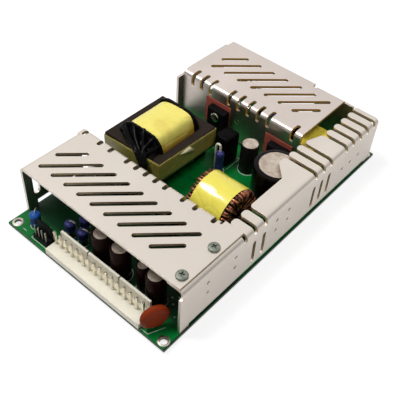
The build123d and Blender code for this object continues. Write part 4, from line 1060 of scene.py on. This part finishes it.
class SUPPLY_OT_packages(bpy.types.Operator):
    """Power packages, pads, chips and their legs"""
    bl_idname = "supply.packages"
    bl_label = "Packages"

    def execute(self, context):
        hue = palette()
        dress(mottled("moulded_black", tones(hue.package, 0.5), 300.0, (0.42, 0.58), grain=2600.0, strength=0.5,
                      worn=shade(hue.package, 1.6), specular=0.05),
              "switching_transistor_1", "switching_transistor_2", "output_rectifier_1", "output_rectifier_2",
              "bridge_rectifier", "control_chip", "optocouplers")
        dress(tinned("package_tin"), "transistor_leads", "rectifier_leads", "chip_legs")
        dress(mottled("insulating_pad", tones(hue.pad, 0.8), 220.0, (0.7, 0.85), grain=2400.0, strength=0.5,
                      worn=shade(hue.pad, 1.25)), "transistor_pads", "rectifier_pads")
        coated = mottled("coated_block", tones(hue.package, 0.15, 0.35), 180.0, (0.3, 0.45), specular=0.04)
        low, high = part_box("start_capacitor")
        centre, half = halves(low, Vector((high.x, high.y, level(19.8))))
        bm = bmesh.new()
        bmesh.ops.create_cube(bm, size=1.0, matrix=sized(centre, half * 2))
        bmesh.ops.bevel(bm, geom=list(bm.edges), offset=0.0019, offset_type="OFFSET", affect="EDGES", segments=4,
                        profile=0.5, material=-1)
        ruffle(bm.verts, 0.00025, 180.0)
        finished("start_block", bm, [coated], ["start_capacitor"], 50.0)
        return {"FINISHED"}


class SUPPLY_OT_mains_parts(bpy.types.Operator):
    """Box capacitor, fuse and solder joints"""
    bl_idname = "supply.mains_parts"
    bl_label = "Mains parts and solder"

    def execute(self, context):
        box = mottled("yellow_box", tones(palette().box, 0.88), 90.0, (0.32, 0.45), grain=1600.0, edge=0.0003)
        tin = tinned("bright_tin", 0.8, 1.1, 260.0, (0.18, 0.34))
        dress(box, "x_capacitor")
        dress(tin, "fuse_caps", "solder_joints")
        centre, half = halves(*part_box("fuse"))
        bm = bmesh.new()
        place = pointing(centre, (1, 0, 0))
        outside, bore, wire = half.z - 0.00002, half.z - 0.0006, 0.00008
        tube = [(outside, -half.x), (outside, half.x), (bore, half.x), (bore, -half.x)]
        turned(bm, tube, place, 40, closed=True)
        turned(bm, [(wire, -half.x), (wire, half.x)], place, 8, 1)
        finished("fuse_tube", bm, [glass_finish(), tin], ["fuse"], 50.0)
        return {"FINISHED"}


# Studio: name, direction, distance, width and watts of each lamp, and whether it shows in gloss and lights surfaces
LAMPS = (
    ("key", Vector((-0.32, -0.28, 0.9)), 0.95, 0.3, 5.8, False, True),
    ("side", Vector((0.32, 0.08, 0.94)), 1.0, 0.4, 3.5, False, True),
    ("front", Vector((0.3, -0.78, 0.55)), 1.1, 0.6, 0.7, False, True),
    ("glint", Vector((-0.43, -0.24, 0.87)), 1.0, 0.16, 2.9, True, False),
)
# Bright sides of the room that gloss sees: direction, where the light starts and is full, and how bright it gets
ROOM_DIM = 0.32
ROOM_SIDES = (((-0.43, 0.56, 0.71), 0.1, 0.7, 1.0), ((0.72, -0.63, 0.3), 0.55, 0.95, 0.75))
WHITE = (1, 1, 1, 1)
# Camera fitted to the photo: its place, and its azimuth, elevation and roll in degrees
EYE, EYE_TURNS = Vector((0.154725, -0.1988, 0.2525)), (37.42, 45.14, 4.76)


class SUPPLY_OT_stage(bpy.types.Operator):
    """Pale floor, soft lamps and the camera"""
    bl_idname = "supply.stage"
    bl_label = "Stage"

    def execute(self, context):
        scene = context.scene
        scene.view_settings.view_transform = "Standard"
        scene.world = self.room()
        self.floor()
        middle = (cad_low + cad_high) / 2
        for name, direction, distance, width, power, glossy, diffuse in LAMPS:
            lamp = bpy.data.lights.new(name, "AREA")
            lamp.size = width
            lamp.energy = power
            holder = placed(name, lamp)
            holder.matrix_world = pointing(middle + direction.normalized() * distance, direction)
            holder.visible_glossy = glossy
            holder.visible_diffuse = diffuse
        scene.camera = self.camera()
        return {"FINISHED"}

    def room(self):
        """World: dim for surfaces, white for the eye, and brighter on two sides for gloss."""
        world = bpy.data.worlds.new("studio")
        world.use_nodes = True
        tree = world.node_tree
        tree.nodes.clear()
        strength = put(tree, "LightPath").outputs["Is Camera Ray"]
        way = put(tree, "TexCoord").outputs["Generated"]
        for aim, near, far, most in ROOM_SIDES:
            strength = calc(tree, "MAXIMUM", between(tree, dot(tree, way, aim), near, far, ROOM_DIM, most), strength)
        shown = put(tree, "Background", {"Color": WHITE, "Strength": strength})
        lit = put(tree, "Background", {"Color": (1, 0.985, 0.96, 1), "Strength": 0.07})
        self.choose(tree, lit, shown, "OutputWorld")
        return world

    def floor(self):
        """Floor that looks pale to the eye and takes soft shadows."""
        finish = bpy.data.materials.new("pale_floor")
        finish.use_nodes = True
        tree = finish.node_tree
        tree.nodes.clear()
        bounce = put(tree, "BsdfDiffuse", {"Color": (0.8, 0.8, 0.8, 1)})
        eye_ray = put(tree, "LightPath").outputs["Is Camera Ray"]
        glow = put(tree, "Emission", {"Color": WHITE, "Strength": between(tree, eye_ray, 0.0, 1.0, 0.55, 0.76)})
        shadow = put(tree, "BsdfDiffuse", {"Color": (0.36, 0.36, 0.36, 1)})
        pale = put(tree, "AddShader", {0: glow.outputs[0], 1: shadow.outputs[0]})
        self.choose(tree, bounce, pale, "OutputMaterial")
        bm = bmesh.new()
        under = Matrix.Translation((0, 0, cad_low.z - 0.0001))
        bmesh.ops.create_grid(bm, x_segments=1, y_segments=1, size=6.0, matrix=under)
        mesh = settled("floor", bm)
        mesh.materials.append(finish)
        floor = placed("floor", mesh)

    def camera(self):
        """Camera at the photo's viewpoint."""
        eye = bpy.data.cameras.new("camera")
        eye.lens = 58.64
        eye.sensor_width = 36.0
        eye.shift_x = -0.02
        eye.shift_y = -0.02875
        eye.clip_start = 0.01
        azimuth, elevation, roll = (math.radians(turn) for turn in EYE_TURNS)
        away = Vector((math.sin(azimuth) * math.cos(elevation), -math.cos(azimuth) * math.cos(elevation),
                       math.sin(elevation)))
        right = UP.cross(away).normalized()
        above = away.cross(right)
        across = right * math.cos(roll) + above * math.sin(roll)
        upward = above * math.cos(roll) - right * math.sin(roll)
        pose = Matrix((across, upward, away)).transposed().to_4x4()
        pose.translation = EYE
        holder = placed("camera", eye)
        holder.matrix_world = pose
        return holder

    @staticmethod
    def choose(tree, lit, shown, output):
        """Show one shader where a ray comes from the eye, a reflection or through glass, and the other elsewhere."""
        path = put(tree, "LightPath").outputs
        seen = calc(tree, "MAXIMUM", path["Is Camera Ray"], path["Is Glossy Ray"])
        seen = calc(tree, "MAXIMUM", seen, path["Is Transmission Ray"])
        seen = times(tree, seen, calc(tree, "LESS_THAN", path["Diffuse Depth"], 0.5))
        both = put(tree, "MixShader", {0: seen, 1: lit.outputs[0], 2: shown.outputs[0]})
        put(tree, output, {"Surface": both.outputs[0]})


OPERATORS = (
    SUPPLY_OT_board, SUPPLY_OT_sheet_metal, SUPPLY_OT_screws, SUPPLY_OT_headers, SUPPLY_OT_transformer,
    SUPPLY_OT_chokes, SUPPLY_OT_cans, SUPPLY_OT_discs, SUPPLY_OT_resistors, SUPPLY_OT_packages, SUPPLY_OT_mains_parts,
    SUPPLY_OT_stage,
)


class SUPPLY_PT_panel(bpy.types.Panel):
    """Lists the supply's pieces in the sidebar"""
    bl_idname = "SUPPLY_PT_panel"
    bl_label = "Power supply"
    bl_space_type = "VIEW_3D"
    bl_region_type = "UI"
    bl_category = "Power supply"

    def draw(self, context):
        for operator in OPERATORS:
            self.layout.operator(operator.bl_idname)
        for group in (context.scene.supply_sizes, context.scene.supply_colours):
            for name in group.bl_rna.properties.keys():
                if name not in {"rna_type", "name"}:
                    self.layout.prop(group, name)


CLASSES = (SupplyColours, SupplySizes, *OPERATORS, SUPPLY_PT_panel)


def register():
    for item in CLASSES:
        bpy.utils.register_class(item)
    bpy.types.Scene.supply_colours = PointerProperty(type=SupplyColours)
    bpy.types.Scene.supply_sizes = PointerProperty(type=SupplySizes)


def unregister():
    del bpy.types.Scene.supply_sizes
    del bpy.types.Scene.supply_colours
    for item in reversed(CLASSES):
        bpy.utils.unregister_class(item)


def main():
    register()
    for operator in OPERATORS:
        group, name = operator.bl_idname.split(".")
        getattr(getattr(bpy.ops, group), name)()


if __name__ == "__main__":
    main()
